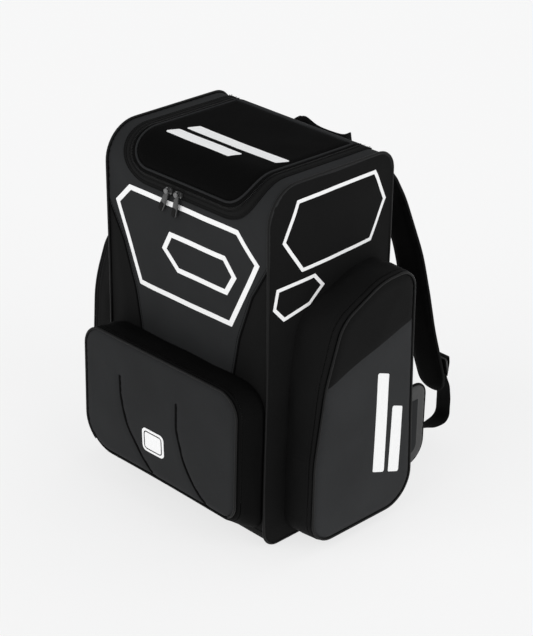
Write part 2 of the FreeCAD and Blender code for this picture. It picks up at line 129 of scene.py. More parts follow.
def grown(corners, grow):
    """Move each side of a counter-clockwise outline outward by grow, and its corner radii with it."""
    result = []
    for i, here in enumerate(corners):
        d1 = unit(corners[i - 1], here)
        d2 = unit(here, corners[(i + 1) % len(corners)])
        share = grow / (1.0 + d1[1] * d2[1] + d1[0] * d2[0])
        turn = d1[0] * d2[1] - d1[1] * d2[0]
        radius = here[2] + (grow if turn > 0 else -grow)
        u = here[0] + share * (d1[1] + d2[1])
        v = here[1] - share * (d1[0] + d2[0])
        result.append((u, v, max(radius, 0.5)))
    return result


def blended(first, second, t):
    """Outline part of the way from one outline to another."""
    return [tuple(a + (b - a) * t for a, b in zip(p, q)) for p, q in zip(first, second)]


def corner_arc(before, here, after, cuts):
    """Points of the arc that rounds one corner."""
    d1 = unit(before, here)
    d2 = unit(here, after)
    turn = math.atan2(d1[0] * d2[1] - d1[1] * d2[0], d1[0] * d2[0] + d1[1] * d2[1])
    side = 1.0 if turn > 0 else -1.0
    reach = here[2] * math.tan(abs(turn) / 2)
    start = (here[0] - d1[0] * reach, here[1] - d1[1] * reach)
    centre = (start[0] - side * d1[1] * here[2], start[1] + side * d1[0] * here[2])
    arm = (start[0] - centre[0], start[1] - centre[1])
    points = []
    for k in range(cuts + 1):
        c = math.cos(turn * k / cuts)
        s = math.sin(turn * k / cuts)
        points.append((centre[0] + arm[0] * c - arm[1] * s, centre[1] + arm[0] * s + arm[1] * c))
    return points


def unit_rows(rows):
    """Each row scaled to length one."""
    return rows / np.linalg.norm(rows, axis=1)[:, None]


def run_along(points):
    """Distance travelled along a line at each of its points."""
    return np.concatenate([[0], np.cumsum(np.linalg.norm(np.diff(points, axis=0), axis=1))])


def closed_outline(corners, arc_cuts=10, side_cuts=12):
    """Points round a closed outline, always as many for the same number of corners."""
    count = len(corners)
    arcs = []
    for i, here in enumerate(corners):
        arcs.append(corner_arc(corners[i - 1], here, corners[(i + 1) % count], arc_cuts))
    points = []
    for i, arc in enumerate(arcs):
        points += arc
        a, b = arc[-1], arcs[(i + 1) % count][0]
        for k in range(1, side_cuts):
            t = k / side_cuts
            points.append((a[0] + (b[0] - a[0]) * t, a[1] + (b[1] - a[1]) * t))
    return np.array(points)


def open_line(corners, step=5.0):
    """Points every step or so along an open line, its inner corners rounded."""
    points = [corners[0][:2]]
    for i in range(1, len(corners) - 1):
        points += corner_arc(corners[i - 1], corners[i], corners[i + 1], 6)
    points.append(corners[-1][:2])
    return even(np.array(points, float), step)


def even(points, step, closed=False):
    """The same line with its points spaced evenly."""
    if closed:
        points = np.vstack([points, points[:1]])
    run = run_along(points)
    count = max(3, int(round(run[-1] / step)))
    at = np.linspace(0, run[-1], count + 1)
    if closed:
        at = at[:-1]
    return np.column_stack([np.interp(at, run, points[:, k]) for k in range(points.shape[1])])


def dense(points, step):
    """Closed loop with every side longer than step cut into steps, its corners kept."""
    result = []
    for a, b in zip(points, np.roll(points, -1, axis=0)):
        cuts = max(1, int(math.ceil(np.linalg.norm(b - a) / step)))
        result += [a + (b - a) * k / cuts for k in range(cuts)]
    return np.array(result)


def stroke(points, width):
    """Outer and inner loop of a closed line of this width drawn along the points."""
    points = np.array(points, float)
    ahead = unit_rows(np.roll(points, -1, axis=0) - points)
    behind = np.roll(ahead, 1, axis=0)
    normal = np.column_stack([ahead[:, 1] + behind[:, 1], -ahead[:, 0] - behind[:, 0]])
    normal /= (1 + (ahead * behind).sum(axis=1))[:, None]
    return [points + normal * width / 2, points - normal * width / 2]


def segments(lines):
    """Start and end of every segment of closed loops."""
    start = np.vstack(lines)
    end = np.vstack([np.roll(line, -1, axis=0) for line in lines])
    return start, end


def distance(points, start, end):
    """Distance of each point from the nearest of the segments."""
    best = np.full(len(points), 1e9)
    run = end - start
    size = np.maximum((run ** 2).sum(axis=1), 1e-9)
    for a, d, n in zip(start, run, size):
        t = np.clip(((points - a) @ d) / n, 0, 1)
        gap = points - a - t[:, None] * d
        best = np.minimum(best, (gap ** 2).sum(axis=1))
    return np.sqrt(best)


def inside(points, start, end):
    """True for each point that lies within the loops."""
    crossings = np.zeros(len(points), int)
    for a, b in zip(start, end):
        if a[1] == b[1]:
            continue
        spans = (points[:, 1] >= min(a[1], b[1])) & (points[:, 1] < max(a[1], b[1]))
        at = a[0] + (points[:, 1] - a[1]) * (b[0] - a[0]) / (b[1] - a[1])
        crossings += spans & (points[:, 0] < at)
    return crossings % 2 == 1


def filled(loops, grid, lines=()):
    """Flat points and triangles that fill the loops; lines are open lines that the edges follow."""
    start, end = segments(loops)
    low = start.min(axis=0)
    high = start.max(axis=0)
    us, vs = np.meshgrid(np.arange(low[0], high[0], grid), np.arange(low[1], high[1], grid * ROW_PITCH))
    us = us + grid / 2 * (np.arange(us.shape[0]) % 2)[:, None]
    free = np.column_stack([us.ravel(), vs.ravel()])
    free = free[inside(free, start, end)]
    free = free[distance(free, start, end) > grid * CLEAR]
    for line in lines:
        free = free[distance(free, line[:-1], line[1:]) > grid * CLEAR]
    points, edges = [], []
    for loop in loops:
        first = len(points)
        points += list(loop)
        edges += [(first + i, first + (i + 1) % len(loop)) for i in range(len(loop))]
    for line in lines:
        first = len(points)
        points += list(line)
        edges += [(first + i, first + i + 1) for i in range(len(line) - 1)]
    points += list(free)
    result = delaunay_2d_cdt([Vector(p) for p in points], edges, [], 0, 1e-5, False)
    flat = np.array([tuple(p) for p in result[0]])
    faces = np.array([tuple(f) for f in result[2]])
    middle = flat[faces].mean(axis=1)
    return flat, faces[inside(middle, start, end)]


# ---------------------------------------------------------------- laying flat things on the pack

def wrap_table():
    """Run, place and outward normal along the body's side profile, from the foot of the front."""
    points = even(closed_outline(BODY_PROFILE, 40, 200), 1.0, closed=True)
    first = int(np.argmin(np.hypot(points[:, 0] - FRONT_Y, points[:, 1] - BASE_Z - R_BASE)))
    points = np.roll(points, -first, axis=0)
    points = np.vstack([points, points[:1]])
    along = np.gradient(points, axis=0)
    along[0] = along[-1] = along[1]
    along = unit_rows(along)
    return run_along(points), points, np.column_stack([-along[:, 1], along[:, 0]])


WRAP_RUN, WRAP_AT, WRAP_OUT = wrap_table()


def carried(run, at, out, u, v, h):
    """Points at u across and run v along a line, h proud of it."""
    y, z = (np.interp(v, run, at[:, k]) + h * np.interp(v, run, out[:, k]) for k in (0, 1))
    return np.column_stack([u, y, z])


def wrap(u, v, h):
    """Round the body from the foot of the front: u across, v along the profile, h proud of it."""
    return carried(WRAP_RUN, WRAP_AT, WRAP_OUT, u, v, h)


def run_at_front(z):
    """Distance along the profile at which the front reaches this height."""
    top = int(np.argmax(WRAP_AT[:, 1] > TOP_Z - 0.02))
    return float(np.interp(z, WRAP_AT[:top, 1], WRAP_RUN[:top]))


def run_at_top(y):
    """Distance along the profile at which the top reaches this depth."""
    half = int(np.argmax(WRAP_AT[:, 0] > BACK_Y - 0.05))
    low = int(np.argmax(WRAP_AT[:, 1] > TOP_Z - R_TOP_FRONT))
    return float(np.interp(y, WRAP_AT[low:half, 0], WRAP_RUN[low:half]))


def run_at_back(z):
    """Distance along the profile at which the back comes down to this height."""
    start = int(np.argmax(WRAP_AT[:, 0] > BACK_Y - 0.05))
    end = start + int(np.argmax(WRAP_AT[start:, 1] < BASE_Z + R_BASE))
    return float(np.interp(-z, -WRAP_AT[start:end, 1], WRAP_RUN[start:end]))


def side_place(sign, x):
    """Lay (y, z) on the plane at x on one side of the pack, h outward."""
    return lambda u, v, h: np.column_stack([sign * (x + h), u, v])


def front_place(y):
    """Lay (x, z) on the plane at depth y, h towards the front."""
    return lambda u, v, h: np.column_stack([u, y - h, v])


def back_place(y):
    """Lay (x, z) on the plane at depth y, h towards the wearer."""
    return lambda u, v, h: np.column_stack([u, y + h, v])


def settled(points):
    """Slight give that runs through all the fabric, so that nothing sewn is quite straight."""
    x, y, z = points[:, 0], points[:, 1], points[:, 2]
    give = np.column_stack([
        1.0 * np.sin(z / 83 + 1.3) * np.sin(y / 71 + 0.4),
        0.8 * np.sin(x / 67 + 2.1) * np.sin(z / 97 + 0.7),
        0.7 * np.sin(x / 91 + 0.9) * np.cos(y / 77 + 1.9),
    ])
    return points + give * np.clip(z / 60, 0, 1)[:, None]


def ripple(flat, seed):
    """Uneven swell of cloth between -1 and 1, the same each time for one seed."""
    rng = np.random.RandomState(seed)
    total = np.zeros(len(flat))
    for _ in range(7):
        angle, phase = rng.uniform(0, 2 * math.pi, 2)
        length = rng.uniform(45, 150)
        along = flat @ np.array([math.cos(angle), math.sin(angle)])
        total += np.sin(along * 2 * math.pi / length + phase) * length / 150
    return total / 3.2


class Cloth:
    """A sewn panel: its flat outline, where it lies, and how it puffs out from its seams.

    crown is the rise in its middle and falloff how far from the seam that is reached; round_edge is the
    reach and rise of a padded edge; dip is the pull of the stitching; channels are sewn-down lines, each
    with a depth and a width; base lifts the whole panel.
    """

    def __init__(self, loops, place, crown=2.0, falloff=25.0, round_edge=None, dip=0.8,
                 swell=0.5, seed=1, channels=(), base=0.0):
        self.loops = loops
        self.place = place
        self.crown = crown
        self.falloff = falloff
        self.round_edge = round_edge
        self.dip = dip
        self.swell = swell
        self.seed = seed
        self.channels = channels
        self.base = base
        self.start, self.end = segments(loops)

    def height(self, flat):
        """How far the cloth stands proud at each flat point."""
        d = distance(flat, self.start, self.end)
        h = self.crown * (1 - np.exp(-(d / self.falloff) ** 2))
        if self.round_edge:
            t = np.clip(d / self.round_edge[0], 0, 1)
            h = h + self.round_edge[1] * np.sqrt(1 - (1 - t) ** 2)
        h = h - self.dip * np.exp(-(d / 2.5) ** 2)
        h = h + self.swell * ripple(flat, self.seed) * (1 - np.exp(-(d / 18) ** 2))
        for line, depth, width in self.channels:
            gap = distance(flat, line[:-1], line[1:])
            h = h - depth * np.exp(-(gap / width) ** 2)
        return h + self.base

    def unsettled(self, flat, lift=0.0):
        """Points in space, lift proud of the cloth, before the fabric's slight give."""
        return self.place(flat[:, 0], flat[:, 1], self.height(flat) + lift)

    def at(self, flat, lift=0.0):
        """Points in space, lift proud of the cloth."""
        return settled(self.unsettled(flat, lift))


# ---------------------------------------------------------------- materials

def add(tree, kind, **settings):
    """New shader node with its settings."""
    made = tree.nodes.new(kind)
    for key, value in settings.items():
        setattr(made, key, value)
    return made


def mixed(tree, mode, amount, first, second):
    """Colour mix of two sockets or colours."""
    mix = add(tree, "ShaderNodeMix", data_type="RGBA", blend_type=mode)
    for socket, value in ((mix.inputs[0], amount), (mix.inputs[6], first), (mix.inputs[7], second)):
        if isinstance(value, bpy.types.NodeSocket):
            tree.links.new(value, socket)
        else:
            socket.default_value = value
    return mix.outputs[2]


def ranged(tree, source, low, high, to_low, to_high):
    """Socket value carried from one range to another."""
    reach = add(tree, "ShaderNodeMapRange")
    tree.links.new(source, reach.inputs[0])
    for socket, value in zip(reach.inputs[1:5], (low, high, to_low, to_high)):
        socket.default_value = value
    return reach.outputs[0]


def cloud(tree, where, scale, detail):
    """Noise value."""
    made = add(tree, "ShaderNodeTexNoise")
    tree.links.new(where, made.inputs["Vector"])
    made.inputs["Scale"].default_value = scale
    made.inputs["Detail"].default_value = detail
    return made.outputs[0]


def threads(tree, where, direction, scale):
    """Rows of threads as a value between 0 and 1."""
    made = add(tree, "ShaderNodeTexWave", wave_type="BANDS", bands_direction=direction)
    tree.links.new(where, made.inputs["Vector"])
    made.inputs["Scale"].default_value = scale
    made.inputs["Distortion"].default_value = 0.4
    made.inputs["Detail"].default_value = 1.0
    return made.outputs["Fac"]


def tint(level, hue=(1.0, 1.0, 1.0)):
    """Colour from a brightness on the usual 0 to 255 scale, in linear light."""
    value = level / 255
    linear = value / 12.92 if value < 0.04045 else ((value + 0.055) / 1.055) ** 2.4
    return [linear * hue[0], linear * hue[1], linear * hue[2], 1.0]


def look(name, level, hue=(1.0, 1.0, 1.0), pitch=1.6, relief=0.25, rough=0.8, shine=0.2, sheen=0.0,
         metal=0.0, wear=0.15, grain=0.22, flat_cloth=True):
    """Material with weave or grain, uneven colour and a little wear."""
    material = bpy.data.materials.new(name)
    material.use_nodes = True
    tree = material.node_tree
    shader = tree.nodes["Principled BSDF"]
    here = add(tree, "ShaderNodeTexCoord").outputs["Object"]
    if flat_cloth:
        weave_at = add(tree, "ShaderNodeUVMap", uv_map="weave").outputs[0]
        rows = 31.4 / pitch
    else:
        weave_at = here
        rows = 314.0 / pitch
    warp = threads(tree, weave_at, "X", rows)
    weft = threads(tree, weave_at, "Y", rows)
    knit = add(tree, "ShaderNodeMath", operation="MULTIPLY")
    tree.links.new(warp, knit.inputs[0])
    tree.links.new(weft, knit.inputs[1])
    patches = cloud(tree, here, 11.0, 3.0)
    flecks = cloud(tree, here, 420.0, 2.0)
    colour = tint(level, hue)
    darker = [c * (1 - wear) for c in colour[:3]] + [1.0]
    lighter = [c * (1 + wear) for c in colour[:3]] + [1.0]
    base = mixed(tree, "MIX", ranged(tree, patches, 0.3, 0.7, 0.0, 1.0), darker, lighter)
    shade = ranged(tree, knit.outputs[0], 0.0, 1.0, 1.0 - grain, 1.0 + grain)
    grey = add(tree, "ShaderNodeCombineColor")
    for socket in grey.inputs[:3]:
        tree.links.new(shade, socket)
    base = mixed(tree, "MULTIPLY", 1.0, base, grey.outputs[0])
    worn = [min(1.0, c * 1.5 + 0.004) for c in colour[:3]] + [1.0]
    base = mixed(tree, "MIX", ranged(tree, flecks, 0.62, 0.78, 0.0, 0.35), base, worn)
    tree.links.new(base, shader.inputs["Base Color"])
    uneven = ranged(tree, patches, 0.3, 0.7, max(0.05, rough - 0.06), min(1.0, rough + 0.06))
    tree.links.new(uneven, shader.inputs["Roughness"])
    bump = add(tree, "ShaderNodeBump")
    bump.inputs["Strength"].default_value = relief
    bump.inputs["Distance"].default_value = 0.0004
    tree.links.new(knit.outputs[0], bump.inputs["Height"])
    tree.links.new(bump.outputs[0], shader.inputs["Normal"])
    shader.inputs["Specular IOR Level"].default_value = shine
    shader.inputs["Metallic"].default_value = metal
    shader.inputs["Sheen Weight"].default_value = sheen
    shader.inputs["Sheen Roughness"].default_value = 0.5
    return material


COOL = (0.97, 1.0, 1.04)
LOOKS = {
    "charcoal_cloth": look("charcoal_cloth", 42, COOL, shine=0.12),
    "black_cloth": look("black_cloth", 20, shine=0.08),
    "side_cloth": look("side_cloth", 17, shine=0.10),
    "pocket_cloth": look("pocket_cloth", 10, shine=0.06),
    "side_face_cloth": look("side_face_cloth", 50, COOL, shine=0.12),
    "lid_cloth": look("lid_cloth", 8, shine=0.04, pitch=2.0),
    "mesh_cloth": look("mesh_cloth", 22, pitch=3.2, relief=0.8, shine=0.06),
    "strap_cloth": look("strap_cloth", 9, shine=0.05),
    "wing_cloth": look("wing_cloth", 84, shine=0.10),
    "webbing": look("webbing", 16, pitch=2.4, relief=0.7, shine=0.10),
    "zip_tape": look("zip_tape", 22, pitch=1.0, relief=0.5, shine=0.10),
    "piping": look("piping", 9, pitch=1.2, relief=0.3, rough=0.5, shine=0.2),
    "white_print": look("white_print", 255, relief=0.1, rough=0.6, shine=0.3, wear=0.0, grain=0.03),
    "slider_metal": look("slider_metal", 120, relief=0.1, rough=0.35, metal=0.8, flat_cloth=False),
    "puller_metal": look("puller_metal", 92, relief=0.1, rough=0.4, metal=0.6, flat_cloth=False),
    "buckle_plastic": look("buckle_plastic", 18, relief=0.1, rough=0.4, shine=0.4, flat_cloth=False),
    "base_rubber": look("base_rubber", 16, pitch=4.0, relief=0.6, shine=0.2, flat_cloth=False),
    "stiffener_plastic": look("stiffener_plastic", 60, relief=0.1, rough=0.5, flat_cloth=False),
}


# ---------------------------------------------------------------- meshes

def build(name, points, faces, uvs, slot, body, stands_for=(), sharp=50.0):
    """One piece from points in millimetres, its faces and one flat coordinate per face corner."""
    mesh = bpy.data.meshes.new(name)
    mesh.from_pydata([tuple(p) for p in np.asarray(points) * MM], [], [tuple(f) for f in faces])
    layer = mesh.uv_layers.new(name="weave")
    layer.data.foreach_set("uv", (np.asarray(uvs, float) / 100.0).ravel())
    tidy = bmesh.new()
    tidy.from_mesh(mesh)
    bmesh.ops.recalc_face_normals(tidy, faces=tidy.faces)
    tidy.to_mesh(mesh)
    tidy.free()
    mesh.shade_smooth()
    mesh.set_sharp_from_angle(angle=math.radians(sharp))
    mesh.materials.append(LOOKS[slot])
    piece = bpy.data.objects.new(name, mesh)
    bpy.context.scene.collection.objects.link(piece)
    if stands_for:
        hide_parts(*stands_for)
    if isinstance(body, str):
        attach(piece, body)
    else:
        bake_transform(piece)
    return piece


def rim_edges(faces):
    """Edges that belong to one triangle only, in that triangle's direction."""
    seen = {}
    for f in faces:
        for a, b in ((f[0], f[1]), (f[1], f[2]), (f[2], f[0])):
            seen[(a, b)] = True
    return [(a, b) for a, b in seen if (b, a) not in seen]


def panel(name, cloth, thickness, slot, body, grid=7.0, lines=(), keep=None, stands_for=(), loops=None,
          lift=0.0, back=None):
    """Closed sheet cut from a cloth: its face, its lining and the edge between them."""
    flat, faces = filled(cloth.loops if loops is None else loops, grid, lines)
    if keep is not None:
        faces = faces[keep(flat[faces].mean(axis=1))]
        used = np.unique(faces)
        place = np.zeros(len(flat), int)
        place[used] = np.arange(len(used))
        flat, faces = flat[used], place[faces]
    face = cloth.at(flat, lift)
    if back is None:
        lining = cloth.at(flat, lift - thickness)
    else:
        lining = settled(cloth.place(flat[:, 0], flat[:, 1], back(flat)))
    count = len(flat)
    all_faces = [tuple(f) for f in faces]
    all_faces += [(f[0] + count, f[2] + count, f[1] + count) for f in faces]
    for a, b in rim_edges(faces):
        all_faces.append((b, a, a + count, b + count))
    uv = np.vstack([flat, flat])
    corners = np.array([uv[i] for f in all_faces for i in f])
    return build(name, np.vstack([face, lining]), all_faces, corners, slot, body, stands_for)


def loop_run(points):
    """Distance travelled round a closed line, its first point counted again at the end."""
    run = run_along(points)
    return np.append(run, run[-1] + np.linalg.norm(points[0] - points[-1]))


def grid_piece(name, rows, slot, body, close_rows=True, close_columns=True, stands_for=(), sharp=50.0):
    """Skin over rows of points; open rows are capped at both ends."""
    rows = np.asarray(rows, float)
    n, m = rows.shape[:2]
    down, over = loop_run(rows[:, 0]), loop_run(rows[0])
    faces, uvs = [], []
    for i in range(n if close_rows else n - 1):
        for j in range(m if close_columns else m - 1):
            k, l = (i + 1) % n, (j + 1) % m
            faces.append((i * m + j, i * m + l, k * m + l, k * m + j))
            uvs += [(over[j], down[i]), (over[j + 1], down[i])]
            uvs += [(over[j + 1], down[i + 1]), (over[j], down[i + 1])]
    if not close_columns:
        for j in (0, m - 1):
            faces.append(tuple(i * m + j for i in range(n)))
            uvs += [(over[j], down[i]) for i in range(n)]
    if not close_rows:
        for i in (0, n - 1):
            faces.append(tuple(i * m + j for j in range(m)))
            uvs += [(over[j], down[i]) for j in range(m)]
    return build(name, settled(rows.reshape(-1, 3)), faces, uvs, slot, body, stands_for, sharp)


def frames(path, closed):
    """Direction of travel along a path, one per point."""
    if closed:
        ahead = np.roll(path, -1, axis=0) - np.roll(path, 1, axis=0)
    else:
        ahead = np.gradient(path, axis=0)
    return unit_rows(ahead)


def sweep(name, path, out, section, slot, body, closed=False, stands_for=(), sharp=50.0):
    """Carry a section of (across, out) points along a path; out is the outward direction at each point."""
    path = np.asarray(path, float)
    ahead = frames(path, closed)
    out = np.broadcast_to(np.asarray(out, float), path.shape)
    across = unit_rows(np.cross(ahead, out))
    out = np.cross(across, ahead)
    rows = [path + across * a + out * b for a, b in section]
    return grid_piece(name, rows, slot, body, True, closed, stands_for, sharp)


def circle(radius, cuts=10, flat=1.0):
    """Round section."""
    turns = [2 * math.pi * k / cuts for k in range(cuts)]
    return [(radius * math.cos(t), radius * flat * math.sin(t)) for t in turns]


def strip_section(width, thickness):
    """Section of a flat strap with soft edges."""
    w, t = width / 2, thickness / 2
    return [(-w, 0), (-w + t, t), (-w / 3, t), (w / 3, t), (w - t, t), (w, 0), (w - t, -t), (w / 3, -t),
            (-w / 3, -t), (-w + t, -t)]


SQUARE = ((-1, -1), (1, -1), (1, 1), (-1, 1))


def boxes(name, centres, along, out, size, slot, body):
    """Row of small blocks, such as zip teeth or stitches."""
    centres = np.asarray(centres, float)
    across = unit_rows(np.cross(along, out))
    long, wide, tall = size
    points, faces, uvs = [], [], []
    shape = [(a * size, b * size, k) for k, size in ((-1, 1.0), (1, 0.7)) for a, b in SQUARE]
    sides = [(0, 1, 2, 3), (4, 5, 6, 7), (0, 1, 5, 4), (1, 2, 6, 5), (2, 3, 7, 6), (3, 0, 4, 7)]
    for c, a, s, o in zip(settled(centres), along, across, out):
        first = len(points)
        for i, j, k in shape:
            points.append(c + a * i * long / 2 + s * j * wide / 2 + o * k * tall / 2)
        faces += [tuple(first + q for q in side) for side in sides]
        uvs += [(0, 0), (1, 0), (1, 1), (0, 1)] * 6
    return build(name, points, faces, uvs, slot, body, sharp=30)


STITCH = (2.8, 0.7, 0.6)


def stitches(name, cloth, line, slot, body, pitch=4.2, lift=0.25):
    """Row of stitches along a line on a cloth."""
    points = even(np.asarray(line, float), pitch)
    at = cloth.at(points, lift)
    out = unit_rows(cloth.at(points, lift + 1.0) - at)
    return boxes(name, cloth.unsettled(points, lift), frames(at, False), out, STITCH, slot, body)


def cord_on(name, cloth, line, radius, slot, body, lift=0.0):
    """Thin raised cord or seam along a line on a cloth."""
    points = even(np.asarray(line, float), 5.0)
    low = cloth.unsettled(points, lift)
    high = cloth.unsettled(points, lift + 1.0)
    return sweep(name, low, high - low, circle(radius, 8), slot, body)


def printed(name, cloth, loops, body, slot="white_print", lift=0.3):
    """Flat print on a cloth."""
    loops = [dense(np.asarray(loop, float), 5.0) for loop in loops]
    return panel(name, cloth, 0.5, slot, body, grid=5.0, loops=loops, lift=lift)


# ---------------------------------------------------------------- main body

def mirrored(loop):
    """Mirror image of a flat outline across u = 0."""
    return np.asarray(loop)[::-1] * np.array([-1.0, 1.0])


def both_sides():
    """Sign and name of the wearer's right and left side."""
    return ((1, "right"), (-1, "left"))


def on_side(sign, loop):
    """A loop drawn for the +X side, put on either side."""
    return loop if sign > 0 else mirrored(loop)


def rectangle(u0, v0, u1, v1, radius=4.0):
    """Outline of a rectangle with rounded corners."""
    corners = ((u0, v0), (u1, v0), (u1, v1), (u0, v1))
    return closed_outline([(u, v, radius) for u, v in corners], 5, 2)


def crossed_box(sign, u0, v0, u1, v1):
    """Line of a sewn box with one diagonal."""
    corners = ((u0, v0), (u1, v0), (u1, v1), (u0, v1), (u0, v0), (u1, v1))
    return [(sign * u, v) for u, v in corners]


def level(flat):
    """Lining that lies level under a pad."""
    return np.zeros(len(flat))


def lid_u(grow, back_run, cuts=14):
    """U line of the lid, grown outward, as (x, run) from its +X end round the front to its -X end."""
    half = LID_HALF + grow
    radius = LID_R + grow
    points = [(half, back_run)]
    for k in range(cuts + 1):
        angle = math.pi / 2 * k / cuts
        x = LID_HALF - LID_R + radius * math.cos(angle)
        z = LID_FRONT_Z + LID_R - radius * math.sin(angle)
        points.append((x, run_at_front(z)))
    return np.array(points + [(-x, v) for x, v in reversed(points)])


def band(outer, inner):
    """Closed outline of the band between two open lines."""
    return dense(np.vstack([outer, inner[::-1]]), 6.0)


def raised(height):
    """Lay on the body's wrap, already this far proud of it."""
    return lambda u, v, h: wrap(u, v, h + height)


TOP_END = run_at_top(LID_HINGE_Y + 0.6)
BACK_SPLIT = run_at_back(TOP_Z - R_TOP_BACK)
BACK_END = run_at_back(BASE_Z + R_BASE + 0.5)
PANEL_EDGE = HALF_W - EDGE
PANEL_T = 4.0   # thickness of the padded panels


def insert_line(shift):
    """Seam between the front panel and the insert on the +X side, as (x, run)."""
    return np.array([(x + shift, run_at_front(max(z, 30.0))) for x, z in open_line(INSERT_EDGE)])


def front_cloth():
    """Front panel with the rims that run back beside the lid."""
    seam = insert_line(-0.5)
    right = np.vstack([seam, [(PANEL_EDGE, seam[-1][1] + 2), (PANEL_EDGE, TOP_END)]])
    loop = np.vstack([right, lid_u(ZIP_HALF, TOP_END), mirrored(right)])
    return Cloth([dense(loop, 7.0)], wrap, crown=2.0, falloff=35, dip=0.3, swell=0.9, seed=3)


def make_body():
    """Wrap of the body: front, inserts, top, back and base, then the side panels and piping."""
    front = front_cloth()
    panel("front_panel_cloth", front, PANEL_T, "charcoal_cloth", "pack",
          stands_for=("front_panel", "top_rim_right", "top_rim_left"))
    seam = insert_line(0.5)
    corner = np.vstack([seam, [(PANEL_EDGE, seam[-1][1] - 1), (PANEL_EDGE, 0.0)]])
    for sign, side in both_sides():
        loop = on_side(sign, corner)
        cloth = Cloth([dense(loop, 7.0)], wrap, crown=2.2, falloff=22, dip=0.3, swell=0.8, seed=5 + sign)
        panel("front_insert_cloth_" + side, cloth, PANEL_T, "black_cloth", "pack",
              stands_for=("front_insert_" + side,))
        edge = on_side(sign, insert_line(0.0))
        cord_on("front_insert_cord_" + side, front, edge, 1.6, "pocket_cloth", "pack", lift=0.5)
        line = on_side(sign, insert_line(-5.0))
        stitches("front_insert_stitches_" + side, front, line, "black_cloth", "pack")
    make_sheets()
    profile = list(reversed(BODY_PROFILE))
    for sign, side in both_sides():
        panel("side_cloth_" + side, side_cloth(sign), 5.0, "side_cloth", "pack", grid=8.0,
              stands_for=("side_panel_" + side,))
        path = closed_outline(grown(profile, 1.3), 12, 40)
        at = at_side(sign)(HALF_W - 2.0, path)
        sweep("side_piping_cord_" + side, at, (sign, 0, 0), circle(2.1, 12), "piping", "pack", True,
              ("side_piping_" + side,))


def make_sheets():
    """Plain sheets behind the lid, down the back and under the base."""
    sheets = (
        ("top_back", TOP_END + 0.8, BACK_SPLIT - 0.6, "charcoal_cloth", 7.0, 0.8, 0.4, 11, "top_rim_back"),
        ("back", BACK_SPLIT + 0.6, BACK_END, "mesh_cloth", 9.0, 1.0, 0.5, 12, "back_panel"),
        ("base", BACK_END + 1.0, WRAP_RUN[-1] - 1.0, "black_cloth", 9.0, 0.3, 0.2, 13, "base_panel"),
    )
    for name, start, end, slot, grid, crown, swell, seed, node in sheets:
        loop = dense(rectangle(-PANEL_EDGE, start, PANEL_EDGE, end, 1.0), grid)
        cloth = Cloth([loop], wrap, crown=crown, dip=0.3, swell=swell, seed=seed)
        panel(name + "_cloth", cloth, PANEL_T, slot, "pack", grid=grid, stands_for=(node,))


def side_cloth(sign):
    """Side panel of the body."""
    loop = closed_outline(grown(list(reversed(BODY_PROFILE)), -0.1), 10, 40)
    return Cloth([loop], side_place(sign, HALF_W - 1.0), crown=4.0, falloff=45, dip=0.3, swell=1.1,
                 seed=20 + sign)


def make_rim():
    """Zip tapes and teeth round the lid, on the body's side and on the lid's side."""
    strips = (
        ("rim_tape_inner", ZIP_HALF, 11.0, TOP_END, 1.5, "zip_tape", "pack", ("rim_zip_tape",)),
        ("rim_tape_outer", 11.0, RIM_TAPE, TOP_END, 2.0, "black_cloth", "pack", ()),
        ("lid_tape_edge", -PAD_EDGE - 1.5, -ZIP_HALF, TOP_END - 1.6, 1.5, "pocket_cloth", "lid",
         ("lid_zip_tape",)),
    )
    for name, near, far, end, lift, slot, body, stands in strips:
        loop = band(lid_u(far, end), lid_u(near, end))
        cloth = Cloth([loop], raised(lift), crown=0.5, falloff=3.0, dip=0.5, swell=0.0)
        panel(name, cloth, 1.5, slot, body, grid=4.5, stands_for=stands)
    for body, grow in (("pack", 0.75), ("lid", -0.75)):
        line = even(lid_u(grow, TOP_END - 2), 2.4)
        low, high = wrap(line[:, 0], line[:, 1], 0.9), wrap(line[:, 0], line[:, 1], 1.9)
        boxes("lid_zip_teeth_" + body, low, frames(low, False), high - low, (1.4, 1.5, 1.8),
              "buckle_plastic", body)
    for grow, body in ((RIM_TAPE - 2.2, "pack"), (4.2, "pack"), (-3.6, "lid")):
        cloth = Cloth([lid_u(40, TOP_END)], raised(2.5 if grow > 11 else 2.0), crown=0, dip=0, swell=0)
        line = lid_u(grow, TOP_END - 3)
        stitches("lid_stitches_%s_%d" % (body, abs(grow * 10)), cloth, line, "black_cloth", body)


def pad_cloth():
    """Raised pad on the lid."""
    back = run_at_top(LID_PAD_BACK_Y)
    rows = []
    for y in (LID_PAD_BACK_Y - 7, LID_PAD_BACK_Y - 12):
        v = run_at_top(y)
        rows.append((np.array([(-112.0, v), (112.0, v)]), 1.1, 1.8))
    loop = dense(lid_u(-PAD_EDGE - 0.6, back), 6.0)
    return Cloth([loop], raised(0.8), crown=-1.2, falloff=60, round_edge=(9, 3.4), dip=0.0, swell=0.5,
                 seed=31, channels=rows)


